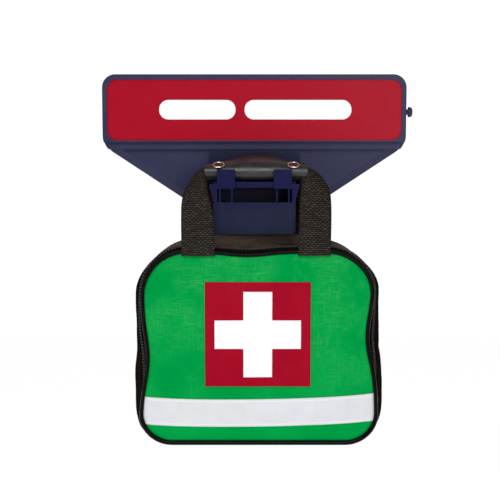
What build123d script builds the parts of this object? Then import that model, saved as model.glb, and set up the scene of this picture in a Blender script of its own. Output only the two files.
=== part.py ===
from build123d import *

import os
from math import atan2, cos, degrees, hypot, radians, sin

# Bleed control kit: a soft zipped bag with its contents, hung by its handles on the hooks of a wall bracket.
#
# Frame: +Z up, the wall is the plane Y = 0, and the kit stands out from it towards -Y.
# The origin is the centre of the four wall screw holes, on the back face of the bracket.
# A depth is a distance out from the wall, so depth d lies at Y = -d.

# ---------------------------------------------------------------- driving dimensions, mm
# bracket
BRACKET_HALF_W = 149.5
BRACKET_TOP = 34.5
BRACKET_SHOULDER = -36.2  # the upright sides turn into the sloping ones here
BRACKET_FOOT_HALF_W = 40.5
BRACKET_FOOT = -108.0
COVER_WALL = 2.5
APRON_DEPTH = 12.0
RIM_W, RIM_DROP = 7.5, 4.5
LEDGE_DEPTH, LEDGE_FOOT = 17.5, -38.6
SIGN_BOX_DEPTH, SIGN_BOX_FOOT = 22.0, -32.0
WALL_PLATE_T = 3.0
WALL_HOLES = (220.0, 30.0)
WALL_HOLE_R = 2.75
# sign
SIGN_WINDOW, SIGN_WINDOW_R, SIGN_WINDOW_Z = (290.0, 59.5), 10.0, -0.4
SLOT_NEAR, SLOT_FAR = 18.0, 20.8
SLOT_HALF_L, SLOT_HALF_H, SLOT_R = 147.0, 31.0, 11.0
SIGN_T, SIGN_FILM_T = 2.0, 0.4
KNOB_Z, KNOB_R = -2.4, 5.0
# hook cradle
CRADLE_HALF_W, CRADLE_TOP, CRADLE_FOOT = 45.3, -41.9, -104.0
FLANGE_FAR = 14.5
SHELF_HALF_W, SHELF_TOP, SHELF_T = 39.4, -69.1, 5.5
FRONT_NEAR, FRONT_FAR = 62.2, 65.2
HOOK_X, HOOK_W, HOOK_TOP, HOOK_FOOT = 27.1, 17.5, -57.2, -75.6
RECESS_HALF_W, RECESS_FOOT = 35.5, -88.5
FLARE_HALF_W, FLARE_TOP = 43.0, -71.0
APRON_FOOT = -119.0
# screws
SCREW_R, PILOT_R, CLEAR_R = 1.5, 1.55, 1.8
HEAD_R, HEAD_SEAT_R, HEAD_T = 3.0, 3.2, 2.5
BOSS_R = 4.5
COVER_SCREWS = [(x, z) for x in (-60.0, 60.0) for z in (-18.0, 18.0)]
CRADLE_SCREWS = [(x, z) for x in (-30.0, 30.0) for z in (-55.0, -94.0)]
# grip
GRIP_DEPTH, GRIP_Z, GRIP_HALF_L = 47.0, -61.2, 50.3
CORE_R, ROLL_R = 3.6, 7.3
WEBBING_T, LEATHER_T = 1.8, 1.6
FLAP_FRONT_DEPTH, FLAP_FRONT_Z, FLAP_REACH, FLAP_ARC_R = 56.5, -54.8, 20.5, 82.0
FLAP_LEAN = radians(30)
SNAP_X, SNAP_R = 36.3, 6.2
# bag
BAG_HALF_W, BAG_TOP, BAG_FOOT = 114.0, -134.2, -314.5
BAG_R_TOP, BAG_R_FOOT = 38.0, 30.0
BACK_NEAR, BACK_T = 14.0, 3.5
SKIN_T = 2.2
ZIP_NEAR, ZIP_FAR = 72.0, 85.3  # the zip's tapes and teeth fill this band of the sides and top
ZIP_END_Z = -285.0
FRONT_NEAR_SEAM, PANEL_FAR, FRONT_FAR_SEAM = 85.5, 89.0, 89.5
PANEL_INSET = 5.3
PATCH, CROSS_L, CROSS_W, PATCH_Z = 99.2, 81.1, 27.0, -210.8
STRIPE_H, STRIPE_Z = 26.8, -283.8
# tourniquet
TQ_Z, TQ_HALF_L, TQ_WEB = -190.0, 75.0, 38.0
TQ_NEAR, TQ_FAR = 40.0, 58.0
ROD_DEPTH, ROD_R, ROD_HALF_L = 72.6, 4.0, 50.0

CLEARANCE = 0.2


def save(piece, name):
    """Labels a finished piece and writes it."""
    piece.part.label = name
    export_step(piece.part, f"parts/{name}.step")


def wall_plane(depth):
    """A sketch plane parallel to the wall at that depth, with X to the right and Z up."""
    return Plane.XZ.offset(depth)


def lean_plane(bottom, top):
    """A sketch plane through two (depth, height) points, with X to the right and its own Y up the lean."""
    rise = Vector(0, bottom[0] - top[0], top[1] - bottom[1])
    return Plane(origin=(0, -bottom[0], bottom[1]), x_dir=(1, 0, 0), z_dir=Vector(1, 0, 0).cross(rise))


def block(width, low, high, x=0.0, mode=Mode.ADD):
    """A rectangle between two heights in the open sketch."""
    with Locations((x, (low + high) / 2)):
        Rectangle(width, high - low, mode=mode)


def bracket_face(inset=0.0):
    """The bracket's front outline: upright above, with sides that slope in to a narrow foot."""
    corners = [
        (BRACKET_HALF_W, BRACKET_TOP),
        (BRACKET_HALF_W, BRACKET_SHOULDER),
        (BRACKET_FOOT_HALF_W, BRACKET_FOOT),
    ]
    mirrored = [(-x, z) for x, z in reversed(corners)]
    with BuildSketch(mode=Mode.PRIVATE) as outline:
        with BuildLine():
            Polyline(*corners, *mirrored, close=True)
        make_face()
        fillet(outline.vertices().group_by(Axis.Y)[-1], 13)
        fillet(outline.vertices().filter_by(lambda v: abs(v.Y - BRACKET_SHOULDER) < 0.01), 20)
        if inset:
            offset(amount=-inset)
    return outline.sketch_local


def slot_face(inset=0.0):
    """The sign's slot, rounded at its closed left end and open at the right-hand side."""
    with BuildSketch(mode=Mode.PRIVATE) as outline:
        with Locations(((BRACKET_HALF_W - SLOT_HALF_L) / 2, 0)):
            Rectangle(BRACKET_HALF_W + SLOT_HALF_L - 2 * inset, 2 * (SLOT_HALF_H - inset))
        fillet(outline.vertices().group_by(Axis.X)[0], SLOT_R)
    return outline.sketch_local


def bag_face(inset):
    """The bag's front outline, drawn that far inside its edge."""
    with BuildSketch(mode=Mode.PRIVATE) as outline:
        with Locations((0, (BAG_TOP + BAG_FOOT) / 2)):
            Rectangle(2 * (BAG_HALF_W - inset), BAG_TOP - BAG_FOOT - 2 * inset)
        fillet(outline.vertices().group_by(Axis.Y)[-1], BAG_R_TOP - inset)
        fillet(outline.vertices().group_by(Axis.Y)[0], BAG_R_FOOT - inset)
    return outline.sketch_local


def bag_ring(near, far, outer, inner, foot=BAG_FOOT - 1):
    """A band around the bag's outline between two depths and two insets, kept above a height."""
    with BuildPart() as band:
        with BuildSketch(wall_plane(near)):
            add(bag_face(outer))
            add(bag_face(inner), mode=Mode.SUBTRACT)
            block(3 * BAG_HALF_W, foot, BAG_TOP + 1, mode=Mode.INTERSECT)
        extrude(amount=far - near)
    return band


def pack(near, far, width, low, high, centres=(0.0,), corner=4.0):
    """Flat packs side by side: rounded blocks between two depths and two heights."""
    with BuildPart() as packs:
        for x in centres:
            with BuildSketch(wall_plane(near)) as outline:
                block(width, low, high, x)
                fillet(outline.vertices(), corner)
            extrude(amount=far - near)
    return packs


os.makedirs("parts", exist_ok=True)

# ---------------------------------------------------------------- bracket: wall plate and front cover
COVER_BOSS_FAR, CRADLE_BOSS_FAR = 12.2, APRON_DEPTH - COVER_WALL - CLEARANCE
SLOT_FLOOR = 15.0
COVER_SEAT = 15.2

with BuildPart() as wall_plate:
    with BuildSketch(wall_plane(0)):
        add(bracket_face(COVER_WALL + CLEARANCE))
    extrude(amount=WALL_PLATE_T)
    for screws, far in ((COVER_SCREWS, COVER_BOSS_FAR), (CRADLE_SCREWS, CRADLE_BOSS_FAR)):
        with BuildSketch(wall_plane(WALL_PLATE_T)):
            with Locations(*screws):
                Circle(BOSS_R)
        extrude(amount=far - WALL_PLATE_T)
    with BuildSketch(wall_plane(WALL_PLATE_T)):
        with Locations(*COVER_SCREWS):
            Circle(PILOT_R)
    extrude(amount=COVER_BOSS_FAR, mode=Mode.SUBTRACT)
    with BuildSketch(wall_plane(0)):
        with Locations(*CRADLE_SCREWS):
            Circle(CLEAR_R)
    extrude(amount=CRADLE_BOSS_FAR, mode=Mode.SUBTRACT)
    with BuildSketch(wall_plane(0)):
        with Locations(*CRADLE_SCREWS):
            Circle(HEAD_SEAT_R)
    extrude(amount=HEAD_T + 0.3, mode=Mode.SUBTRACT)
    with BuildSketch(wall_plane(0)):
        with GridLocations(*WALL_HOLES, 2, 2):
            Circle(WALL_HOLE_R)
    extrude(amount=WALL_PLATE_T, mode=Mode.SUBTRACT)
save(wall_plate, "wall_plate")

with BuildPart() as front_cover:
    # the apron, whose rim slopes back to the wall
    with BuildSketch(wall_plane(0)):
        add(bracket_face())
    extrude(amount=APRON_DEPTH - RIM_DROP)
    with BuildSketch(wall_plane(APRON_DEPTH - RIM_DROP)):
        add(bracket_face())
    extrude(amount=RIM_DROP, taper=degrees(atan2(RIM_W, RIM_DROP)))
    # two more steps out from the wall: ledge and sign box
    for depth, foot in ((LEDGE_DEPTH, LEDGE_FOOT), (SIGN_BOX_DEPTH, SIGN_BOX_FOOT)):
        with BuildSketch(wall_plane(0)):
            add(bracket_face())
            block(3 * BRACKET_HALF_W, foot, BRACKET_TOP, mode=Mode.INTERSECT)
        extrude(amount=depth)
    fillet(front_cover.faces().filter_by(Axis.Y).sort_by(Axis.Y)[0].edges(), 0.8)
    # the hollow behind
    hollows = (
        (APRON_DEPTH - COVER_WALL - RIM_DROP, -200, COVER_WALL),
        (APRON_DEPTH - COVER_WALL, -200, RIM_W),
        (SLOT_FLOOR, LEDGE_FOOT + COVER_WALL, COVER_WALL),
    )
    for depth, foot, inset in hollows:
        with BuildSketch(wall_plane(0)):
            add(bracket_face(inset))
            block(3 * BRACKET_HALF_W, foot, BRACKET_TOP, mode=Mode.INTERSECT)
        extrude(amount=depth, mode=Mode.SUBTRACT)
    with BuildSketch(wall_plane(COVER_BOSS_FAR + CLEARANCE)):
        with Locations(*COVER_SCREWS):
            Circle(BOSS_R)
    extrude(amount=SLOT_FLOOR - COVER_BOSS_FAR - CLEARANCE)
    # the slot for the sign is open at the right-hand side, and the window shows its face
    with BuildSketch(wall_plane(SLOT_NEAR)):
        add(slot_face())
    extrude(amount=SLOT_FAR - SLOT_NEAR, mode=Mode.SUBTRACT)
    with BuildSketch(wall_plane(SLOT_FAR)):
        with Locations((0, SIGN_WINDOW_Z)):
            RectangleRounded(*SIGN_WINDOW, SIGN_WINDOW_R)
    extrude(amount=SIGN_BOX_DEPTH - SLOT_FAR, mode=Mode.SUBTRACT)
    with BuildSketch(wall_plane(COVER_BOSS_FAR)):
        with Locations(*COVER_SCREWS):
            Circle(CLEAR_R)
    extrude(amount=SLOT_NEAR - COVER_BOSS_FAR, mode=Mode.SUBTRACT)
    with BuildSketch(wall_plane(COVER_SEAT)):
        with Locations(*COVER_SCREWS):
            Circle(HEAD_SEAT_R)
    extrude(amount=SLOT_NEAR - COVER_SEAT, mode=Mode.SUBTRACT)
    with BuildSketch(wall_plane(0)):
        with Locations(*CRADLE_SCREWS):
            Circle(CLEAR_R)
    extrude(amount=APRON_DEPTH, mode=Mode.SUBTRACT)
save(front_cover, "front_cover")

with BuildPart() as cover_screws:
    with BuildSketch(wall_plane(COVER_SEAT)):
        with Locations(*COVER_SCREWS):
            Circle(HEAD_R)
    extrude(amount=HEAD_T)
    with BuildSketch(wall_plane(COVER_SEAT)):
        with Locations(*COVER_SCREWS):
            Circle(SCREW_R)
    extrude(amount=-11.5)
save(cover_screws, "cover_screws")

# ---------------------------------------------------------------- hook cradle and its screws
CRADLE_SEAT = HEAD_T + 0.3
CRADLE_BORE_FAR, CRADLE_PAD_FAR = 17.5, 19.0
RIB_W, RIB_X = 1.5, 5.7
PANEL_TOP, PANEL_RECESS = -94.2, 0.8

with BuildPart() as hook_cradle:
    with BuildSketch(wall_plane(APRON_DEPTH)) as flange:
        block(2 * CRADLE_HALF_W, CRADLE_FOOT, CRADLE_TOP)
        fillet(flange.vertices(), 2.5)
    extrude(amount=FLANGE_FAR - APRON_DEPTH)
    with BuildSketch(wall_plane(FLANGE_FAR)):
        with Locations(*CRADLE_SCREWS):
            Circle(BOSS_R)
    extrude(amount=CRADLE_PAD_FAR - FLANGE_FAR)
    # the shelf that the grip lies on, and the two side webs under it
    with BuildSketch(wall_plane(FLANGE_FAR)):
        block(2 * SHELF_HALF_W, SHELF_TOP - SHELF_T, SHELF_TOP)
    extrude(amount=FRONT_NEAR - FLANGE_FAR)
    for side in (-1, 1):
        with BuildSketch(Plane.YZ.offset(side * (SHELF_HALF_W - COVER_WALL / 2))):
            with BuildLine():
                Polyline(
                    (-FLANGE_FAR, SHELF_TOP - SHELF_T),
                    (-FRONT_NEAR, SHELF_TOP - SHELF_T),
                    (-FRONT_NEAR, APRON_FOOT + 17.5),
                    (-FLANGE_FAR, CRADLE_FOOT + 2.5),
                    close=True,
                )
            make_face()
        extrude(amount=COVER_WALL / 2, both=True)
    # the front wall: apron, two side posts and the hooks, which rise above the shelf
    with BuildSketch(wall_plane(FRONT_NEAR)) as front_wall:
        right_side = [
            (FLARE_HALF_W, FLARE_TOP),
            (FLARE_HALF_W, FLARE_TOP - 2.5),
            (SHELF_HALF_W, RECESS_FOOT + 2.5),
            (SHELF_HALF_W, APRON_FOOT),
        ]
        with BuildLine():
            Polyline(*right_side, *[(-x, z) for x, z in reversed(right_side)], close=True)
        make_face()
        fillet(front_wall.vertices().group_by(Axis.Y)[0], 3)
        block(2 * RECESS_HALF_W, RECESS_FOOT, FLARE_TOP + 1, mode=Mode.SUBTRACT)
        for side in (-1, 1):
            block(HOOK_W, HOOK_FOOT, HOOK_TOP, side * HOOK_X)
    extrude(amount=FRONT_FAR - FRONT_NEAR)
    fillet(hook_cradle.faces().filter_by(Axis.Y).sort_by(Axis.Y)[0].edges(), 0.6)
    with BuildSketch(wall_plane(FRONT_NEAR + 0.5)):
        for x in (HOOK_X - RIB_X, HOOK_X + RIB_X):
            block(RIB_W, RECESS_FOOT, HOOK_FOOT, x)
            block(RIB_W, RECESS_FOOT, HOOK_FOOT, -x)
    extrude(amount=2)
    with BuildSketch(wall_plane(FRONT_FAR)):
        block(2 * (SHELF_HALF_W - COVER_WALL), APRON_FOOT + COVER_WALL, PANEL_TOP)
    extrude(amount=-PANEL_RECESS, mode=Mode.SUBTRACT)
    with BuildSketch(wall_plane(APRON_DEPTH)):
        with Locations(*CRADLE_SCREWS):
            Circle(PILOT_R)
    extrude(amount=CRADLE_BORE_FAR - APRON_DEPTH, mode=Mode.SUBTRACT)
save(hook_cradle, "hook_cradle")

with BuildPart() as cradle_screws:
    with BuildSketch(wall_plane(CRADLE_SEAT)):
        with Locations(*CRADLE_SCREWS):
            Circle(HEAD_R)
    extrude(amount=-HEAD_T)
    with BuildSketch(wall_plane(CRADLE_SEAT)):
        with Locations(*CRADLE_SCREWS):
            Circle(SCREW_R)
    extrude(amount=14)
save(cradle_screws, "cradle_screws")

# ---------------------------------------------------------------- sign insert and its knob
SIGN_NEAR = SLOT_NEAR + CLEARANCE
SIGN_FAR = SIGN_NEAR + SIGN_T
FILM_FAR = SIGN_FAR + SIGN_FILM_T
TANG_L, TANG_H = 6.0, 5.0
BARS, BAR_H = ((-56.0, 75.0), (43.0, 105.0)), 19.0  # centre and length of the two plain bars

with BuildPart() as sign_panel:
    with BuildSketch(wall_plane(SIGN_NEAR)):
        add(slot_face(CLEARANCE))
        add(bracket_face(CLEARANCE), mode=Mode.INTERSECT)
        with Locations((BRACKET_HALF_W - TANG_L / 2, KNOB_Z)):
            Rectangle(TANG_L, TANG_H + CLEARANCE, mode=Mode.SUBTRACT)
    extrude(amount=SIGN_T)
save(sign_panel, "sign_panel")

with BuildPart() as sign_face:
    with BuildSketch(wall_plane(SIGN_FAR)):
        with Locations((0, SIGN_WINDOW_Z)):
            RectangleRounded(SIGN_WINDOW[0] + 1.5, SIGN_WINDOW[1] + 1.5, SIGN_WINDOW_R + 0.75)
    extrude(amount=SIGN_FILM_T)
save(sign_face, "sign_face")

with BuildPart() as sign_bars:
    with BuildSketch(wall_plane(FILM_FAR)):
        for x, length in BARS:
            with Locations((x, 0)):
                RectangleRounded(length, BAR_H, BAR_H / 2 - 0.5)
    extrude(amount=0.1)
save(sign_bars, "sign_bars")

with BuildPart() as sign_knob:
    tang_depth = (SIGN_NEAR + SIGN_FAR) / 2
    with BuildSketch(wall_plane(SIGN_NEAR + 0.1)):
        with Locations((BRACKET_HALF_W - TANG_L / 2 + 0.2, KNOB_Z)):
            Rectangle(TANG_L, TANG_H)
    extrude(amount=SIGN_T - 0.2)
    with BuildSketch(Plane.YZ.offset(BRACKET_HALF_W + 0.2)):
        with Locations((-tang_depth, KNOB_Z)):
            Circle(2.6)
    extrude(amount=2.2)
    with BuildSketch(Plane.YZ.offset(BRACKET_HALF_W + 2.0)):
        with Locations((-tang_depth, KNOB_Z)):
            Circle(KNOB_R)
    extrude(amount=4.0)
    fillet(sign_knob.faces().sort_by(Axis.X)[-1].edges(), 2.6)
save(sign_knob, "sign_knob")

# ---------------------------------------------------------------- grip: core, rolled sleeve, flap and snaps
FLAP_PLANE = lean_plane(
    (FLAP_FRONT_DEPTH, FLAP_FRONT_Z),
    (FLAP_FRONT_DEPTH - FLAP_REACH * cos(FLAP_LEAN), FLAP_FRONT_Z + FLAP_REACH * sin(FLAP_LEAN)),
)
WEB_NEAR, WEB_FAR = 9.0, 16.5  # the front handle's webbing under the flap
SNAP_REACH = 6.0
STUD_R, STUD_FOOT, STUD_TOP = 2.2, ROLL_R + 0.05, ROLL_R + 1.0

with BuildPart() as grip_core:
    with BuildSketch(Plane.YZ):
        with Locations((-GRIP_DEPTH, GRIP_Z)):
            Circle(CORE_R)
    extrude(amount=GRIP_HALF_L - 0.8, both=True)
save(grip_core, "grip_core")

with BuildPart() as rear_web:
    with BuildSketch(Plane.YZ):
        with Locations((-GRIP_DEPTH, GRIP_Z)):
            Circle(CORE_R + 0.3 + WEBBING_T)
            Circle(CORE_R + 0.3, mode=Mode.SUBTRACT)
        with Locations((-GRIP_DEPTH, GRIP_Z + ROLL_R)):
            Rectangle(3 * ROLL_R, 2 * ROLL_R, mode=Mode.SUBTRACT)
    extrude(amount=GRIP_HALF_L - 0.5, both=True)
save(rear_web, "rear_web")

with BuildPart() as grip_roll:
    with BuildSketch(Plane.YZ):
        with Locations((-GRIP_DEPTH, GRIP_Z)):
            Circle(ROLL_R)
            Circle(CORE_R + 0.5 + WEBBING_T, mode=Mode.SUBTRACT)
    extrude(amount=GRIP_HALF_L, both=True)
save(grip_roll, "grip_roll")

with BuildPart() as grip_flap:
    with BuildSketch(FLAP_PLANE.offset(-LEATHER_T)) as flap_outline:
        with Locations((0, FLAP_REACH - FLAP_ARC_R)):
            Circle(FLAP_ARC_R)
        block(2 * GRIP_HALF_L, 0, FLAP_REACH + 1, mode=Mode.INTERSECT)
    extrude(amount=LEATHER_T)
save(grip_flap, "grip_flap")

with BuildPart() as front_web:
    with BuildSketch(FLAP_PLANE.offset(-LEATHER_T - CLEARANCE)):
        block(2 * GRIP_HALF_L, WEB_NEAR, WEB_FAR)
    extrude(amount=-WEBBING_T)
save(front_web, "front_web")

with BuildPart() as snap_caps:
    with BuildSketch(FLAP_PLANE):
        with Locations((-SNAP_X, SNAP_REACH), (SNAP_X, SNAP_REACH)):
            Circle(SNAP_R)
    extrude(amount=1.2)
    with BuildSketch(FLAP_PLANE.offset(0.4)):
        with Locations((-SNAP_X, SNAP_REACH), (SNAP_X, SNAP_REACH)):
            Circle(SNAP_R / 2)
    extrude(amount=1.2, mode=Mode.SUBTRACT)
save(snap_caps, "snap_caps")

with BuildPart() as snap_studs:
    stud_plane = Plane(origin=(0, -GRIP_DEPTH, GRIP_Z), x_dir=(1, 0, 0), z_dir=FLAP_PLANE.z_dir)
    with BuildSketch(stud_plane.offset(STUD_FOOT)):
        with Locations((-SNAP_X, 0), (SNAP_X, 0)):
            Circle(STUD_R)
    extrude(amount=STUD_TOP - STUD_FOOT)
save(snap_studs, "snap_studs")

# ---------------------------------------------------------------- handle straps, from the seams up to the grip
FRONT_STRAP = ((87.2, -134.9), (46.5, -50.5))
FRONT_STRAP_EDGES = [
    (40.8, -134.9), (70, -134.9), (70, -92), (67.5, -76), (61, -59), (55, -50.5),
    (50.6, -50.5), (50.6, -69), (46.5, -75), (44.6, -84), (41.4, -100),
]
REAR_STRAP = ((15.9, -133.5), (43.5, -62.0))
REAR_STRAP_EDGES = [
    (42, -133.5), (69, -133.5), (69, -94), (66, -78), (58, -62),
    (50.6, -62), (50.6, -69), (46.6, -78), (45.9, -104), (43, -112),
]


def strap(bottom, top, edges, side):
    """A flat strap that leans between two (depth, height) points, cut to an outline of (x, height) corners."""
    stretch = hypot(top[0] - bottom[0], top[1] - bottom[1]) / (top[1] - bottom[1])
    with BuildPart() as webbing:
        with BuildSketch(lean_plane(bottom, top)):
            with BuildLine():
                Polyline(*[(side * x, (z - bottom[1]) * stretch) for x, z in edges], close=True)
            make_face()
        extrude(amount=WEBBING_T / 2, both=True)
    return webbing


for side, word in ((-1, "left"), (1, "right")):
    save(strap(*FRONT_STRAP, FRONT_STRAP_EDGES, side), f"front_strap_{word}")
    save(strap(*REAR_STRAP, REAR_STRAP_EDGES, side), f"rear_strap_{word}")

# ---------------------------------------------------------------- bag shell
BACK_FAR = BACK_NEAR + BACK_T
BOARD_FAR = BACK_FAR + 2.2
GUSSET_FAR = ZIP_NEAR - CLEARANCE
TAPE_W, TOOTH_W = 3.0, 1.7
TAPE_INSETS, TOOTH_INSETS = (1.4, 2.4), (0.8, 3.2)
ZIP_STRAIGHT_END = ZIP_END_Z + 0.5
REAR_TAPE_FAR = ZIP_NEAR + TAPE_W
REAR_TOOTH_NEAR = REAR_TAPE_FAR + CLEARANCE
REAR_TOOTH_FAR = REAR_TOOTH_NEAR + TOOTH_W
FRONT_TOOTH_NEAR = REAR_TOOTH_FAR + 2.2  # the slider's post runs between the two rows of teeth
FRONT_TOOTH_FAR = FRONT_TOOTH_NEAR + TOOTH_W
FRONT_TAPE_NEAR = FRONT_TOOTH_FAR + CLEARANCE
LID_SKIN_NEAR = FRONT_TAPE_NEAR + 2.0

with BuildPart() as back_panel:
    with BuildSketch(wall_plane(BACK_NEAR)):
        add(bag_face(3.8))
    extrude(amount=BACK_T)
save(back_panel, "back_panel")

with BuildPart() as back_board:
    with BuildSketch(wall_plane(BACK_FAR)):
        add(bag_face(6.0))
    extrude(amount=BOARD_FAR - BACK_FAR)
save(back_board, "back_board")

save(bag_ring(BACK_NEAR, BACK_FAR, 0, 3.6), "rear_piping")

with BuildPart() as gusset:
    with BuildSketch(wall_plane(BACK_FAR + CLEARANCE)):
        add(bag_face(0))
        add(bag_face(SKIN_T), mode=Mode.SUBTRACT)
    extrude(amount=GUSSET_FAR - BACK_FAR - CLEARANCE)
    # below the zip's ends the gusset runs on to the front seam
    with BuildSketch(wall_plane(GUSSET_FAR)):
        add(bag_face(0))
        add(bag_face(SKIN_T), mode=Mode.SUBTRACT)
        block(3 * BAG_HALF_W, BAG_FOOT - 1, ZIP_END_Z, mode=Mode.INTERSECT)
    extrude(amount=ZIP_FAR - GUSSET_FAR)
save(gusset, "gusset")

save(bag_ring(ZIP_NEAR, REAR_TAPE_FAR, *TAPE_INSETS, ZIP_STRAIGHT_END), "zip_tape_rear")
save(bag_ring(REAR_TOOTH_NEAR, REAR_TOOTH_FAR, *TOOTH_INSETS, ZIP_STRAIGHT_END), "zip_teeth_rear")

# ---------------------------------------------------------------- lid: the front panel and what is sewn to it
save(bag_ring(FRONT_TOOTH_NEAR, FRONT_TOOTH_FAR, *TOOTH_INSETS, ZIP_STRAIGHT_END), "zip_teeth_front")
save(bag_ring(FRONT_TAPE_NEAR, LID_SKIN_NEAR - CLEARANCE, *TAPE_INSETS, ZIP_STRAIGHT_END), "zip_tape_front")
save(bag_ring(LID_SKIN_NEAR, ZIP_FAR, 0.9, 0.9 + SKIN_T, ZIP_STRAIGHT_END), "lid_gusset")
save(bag_ring(FRONT_NEAR_SEAM, FRONT_FAR_SEAM, 1.5, PANEL_INSET - CLEARANCE), "front_piping")

with BuildPart() as front_panel:
    with BuildSketch(wall_plane(FRONT_NEAR_SEAM + 0.5)):
        add(bag_face(PANEL_INSET))
    extrude(amount=PANEL_FAR - FRONT_NEAR_SEAM - 0.5)
save(front_panel, "front_panel")

with BuildPart() as reflective_stripe:
    with BuildSketch(wall_plane(PANEL_FAR)):
        add(bag_face(PANEL_INSET))
        block(3 * BAG_HALF_W, STRIPE_Z - STRIPE_H / 2, STRIPE_Z + STRIPE_H / 2, mode=Mode.INTERSECT)
    extrude(amount=0.6)
save(reflective_stripe, "reflective_stripe")

PATCH_T, CROSS_T = 1.2, 0.5
with BuildPart() as label_patch:
    with BuildSketch(wall_plane(PANEL_FAR)):
        with Locations((0, PATCH_Z)):
            RectangleRounded(PATCH, PATCH, 2)
    extrude(amount=PATCH_T)
save(label_patch, "label_patch")

with BuildPart() as patch_cross:
    with BuildSketch(wall_plane(PANEL_FAR + PATCH_T)):
        with Locations((0, PATCH_Z)):
            Rectangle(CROSS_L, CROSS_W)
            Rectangle(CROSS_W, CROSS_L)
    extrude(amount=CROSS_T)
save(patch_cross, "patch_cross")

POCKET_HALF_W, POCKET_FOOT, POCKET_TOP = 72.0, -292.0, -165.0
POCKET_NEAR, POCKET_WALL = 82.4, 2.0
with BuildPart() as inner_pocket:
    with BuildSketch(wall_plane(POCKET_NEAR)):
        block(2 * POCKET_HALF_W, POCKET_FOOT, POCKET_TOP)
    extrude(amount=FRONT_NEAR_SEAM + 0.3 - POCKET_NEAR)
    with BuildSketch(wall_plane(POCKET_NEAR + 0.6)):
        block(2 * (POCKET_HALF_W - POCKET_WALL), POCKET_FOOT + POCKET_WALL, POCKET_TOP)
    extrude(amount=FRONT_NEAR_SEAM, mode=Mode.SUBTRACT)
save(inner_pocket, "inner_pocket")
save(pack(POCKET_NEAR + 0.8, FRONT_NEAR_SEAM, 120, -288, -172), "chest_seal_pack")

# ---------------------------------------------------------------- zip slider and pull
SLIDER_L, SLIDER_FOOT = 12.0, -284.0
PLATE_OUT = (BAG_HALF_W - TOOTH_INSETS[0] + 0.4, BAG_HALF_W + 1.2)
PLATE_IN = (BAG_HALF_W - TOOTH_INSETS[1] - 1.8, BAG_HALF_W - TOOTH_INSETS[1] - 0.4)
POST_DEPTH = (REAR_TOOTH_FAR + FRONT_TOOTH_NEAR) / 2
PIN_R, PIN_OUT, PIN_Z = 0.8, 2.6, SLIDER_FOOT + 8.0
PULL_L, PULL_W = 17.0, 5.0

with BuildPart() as zip_slider:
    for near, far in (PLATE_OUT, PLATE_IN):
        with BuildSketch(Plane.YZ.offset(near)):
            with Locations((-POST_DEPTH, SLIDER_FOOT + SLIDER_L / 2)):
                RectangleRounded(9.0, SLIDER_L, 2)
        extrude(amount=far - near)
    with BuildSketch(Plane.YZ.offset(PLATE_IN[0])):
        with Locations((-POST_DEPTH, SLIDER_FOOT + SLIDER_L / 2)):
            RectangleRounded(1.4, SLIDER_L - 3, 0.5)
    extrude(amount=PLATE_OUT[1] - PLATE_IN[0])
    # two ears and the pin that the pull swings on
    for end in (-1, 1):
        with BuildSketch(wall_plane(POST_DEPTH + end * 3.6)):
            with Locations((PLATE_OUT[1] + 1.6, PIN_Z)):
                Rectangle(3.6, 4.0)
        extrude(amount=0.6, both=True)
    with BuildSketch(wall_plane(POST_DEPTH)):
        with Locations((PLATE_OUT[1] + PIN_OUT - 0.8, PIN_Z)):
            Circle(PIN_R)
    extrude(amount=3.2, both=True)
save(zip_slider, "zip_slider")

with BuildPart() as zip_pull:
    with BuildSketch(wall_plane(POST_DEPTH)):
        with Locations((PLATE_OUT[1] + PIN_OUT - 0.8, PIN_Z)):
            Circle(1.6)
        block(2.0, PIN_Z - PULL_L, PIN_Z, PLATE_OUT[1] + PIN_OUT - 0.8)
        with Locations((PLATE_OUT[1] + PIN_OUT - 0.8, PIN_Z)):
            Circle(PIN_R + 0.08, mode=Mode.SUBTRACT)
    extrude(amount=PULL_W / 2, both=True)
save(zip_pull, "zip_pull")

# ---------------------------------------------------------------- tourniquet, folded flat and held in the shell
TQ_LAYERS = 4.2
LOOP_X, LOOP_W, LOOP_T = 62.0, 16.0, 1.2
PLATE_HALF_L, PLATE_T, PLATE_BORE = 42.0, 3.0, 6.6
CLIP_X, CLIP_W, CLIP_JAW_FAR = 34.0, 11.0, 67.9
PLATE_NEAR = TQ_FAR + CLEARANCE
PLATE_FAR = PLATE_NEAR + PLATE_T

with BuildPart() as tourniquet_strap:
    with BuildSketch(Plane.XY.offset(TQ_Z - TQ_WEB / 2)):
        with Locations((0, -(TQ_NEAR + TQ_FAR) / 2)):
            SlotOverall(2 * TQ_HALF_L, TQ_FAR - TQ_NEAR)
            SlotOverall(2 * (TQ_HALF_L - TQ_LAYERS), TQ_FAR - TQ_NEAR - 2 * TQ_LAYERS, mode=Mode.SUBTRACT)
    extrude(amount=TQ_WEB)
save(tourniquet_strap, "tourniquet_strap")

with BuildPart() as tourniquet_buckle:
    with BuildSketch(wall_plane(TQ_NEAR + 6)):
        with Locations((-TQ_HALF_L - 9, TQ_Z)):
            RectangleRounded(16, TQ_WEB + 8, 3)
            with GridLocations(6.5, 1, 2, 1):
                Rectangle(3, TQ_WEB + 1, mode=Mode.SUBTRACT)
    extrude(amount=4)
save(tourniquet_buckle, "tourniquet_buckle")

with BuildPart() as windlass_plate:
    with BuildSketch(wall_plane(PLATE_NEAR)):
        with Locations((0, TQ_Z)):
            RectangleRounded(2 * PLATE_HALF_L, TQ_WEB + 2, 4)
            Circle(PLATE_BORE, mode=Mode.SUBTRACT)
    extrude(amount=PLATE_T)
save(windlass_plate, "windlass_plate")

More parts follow.
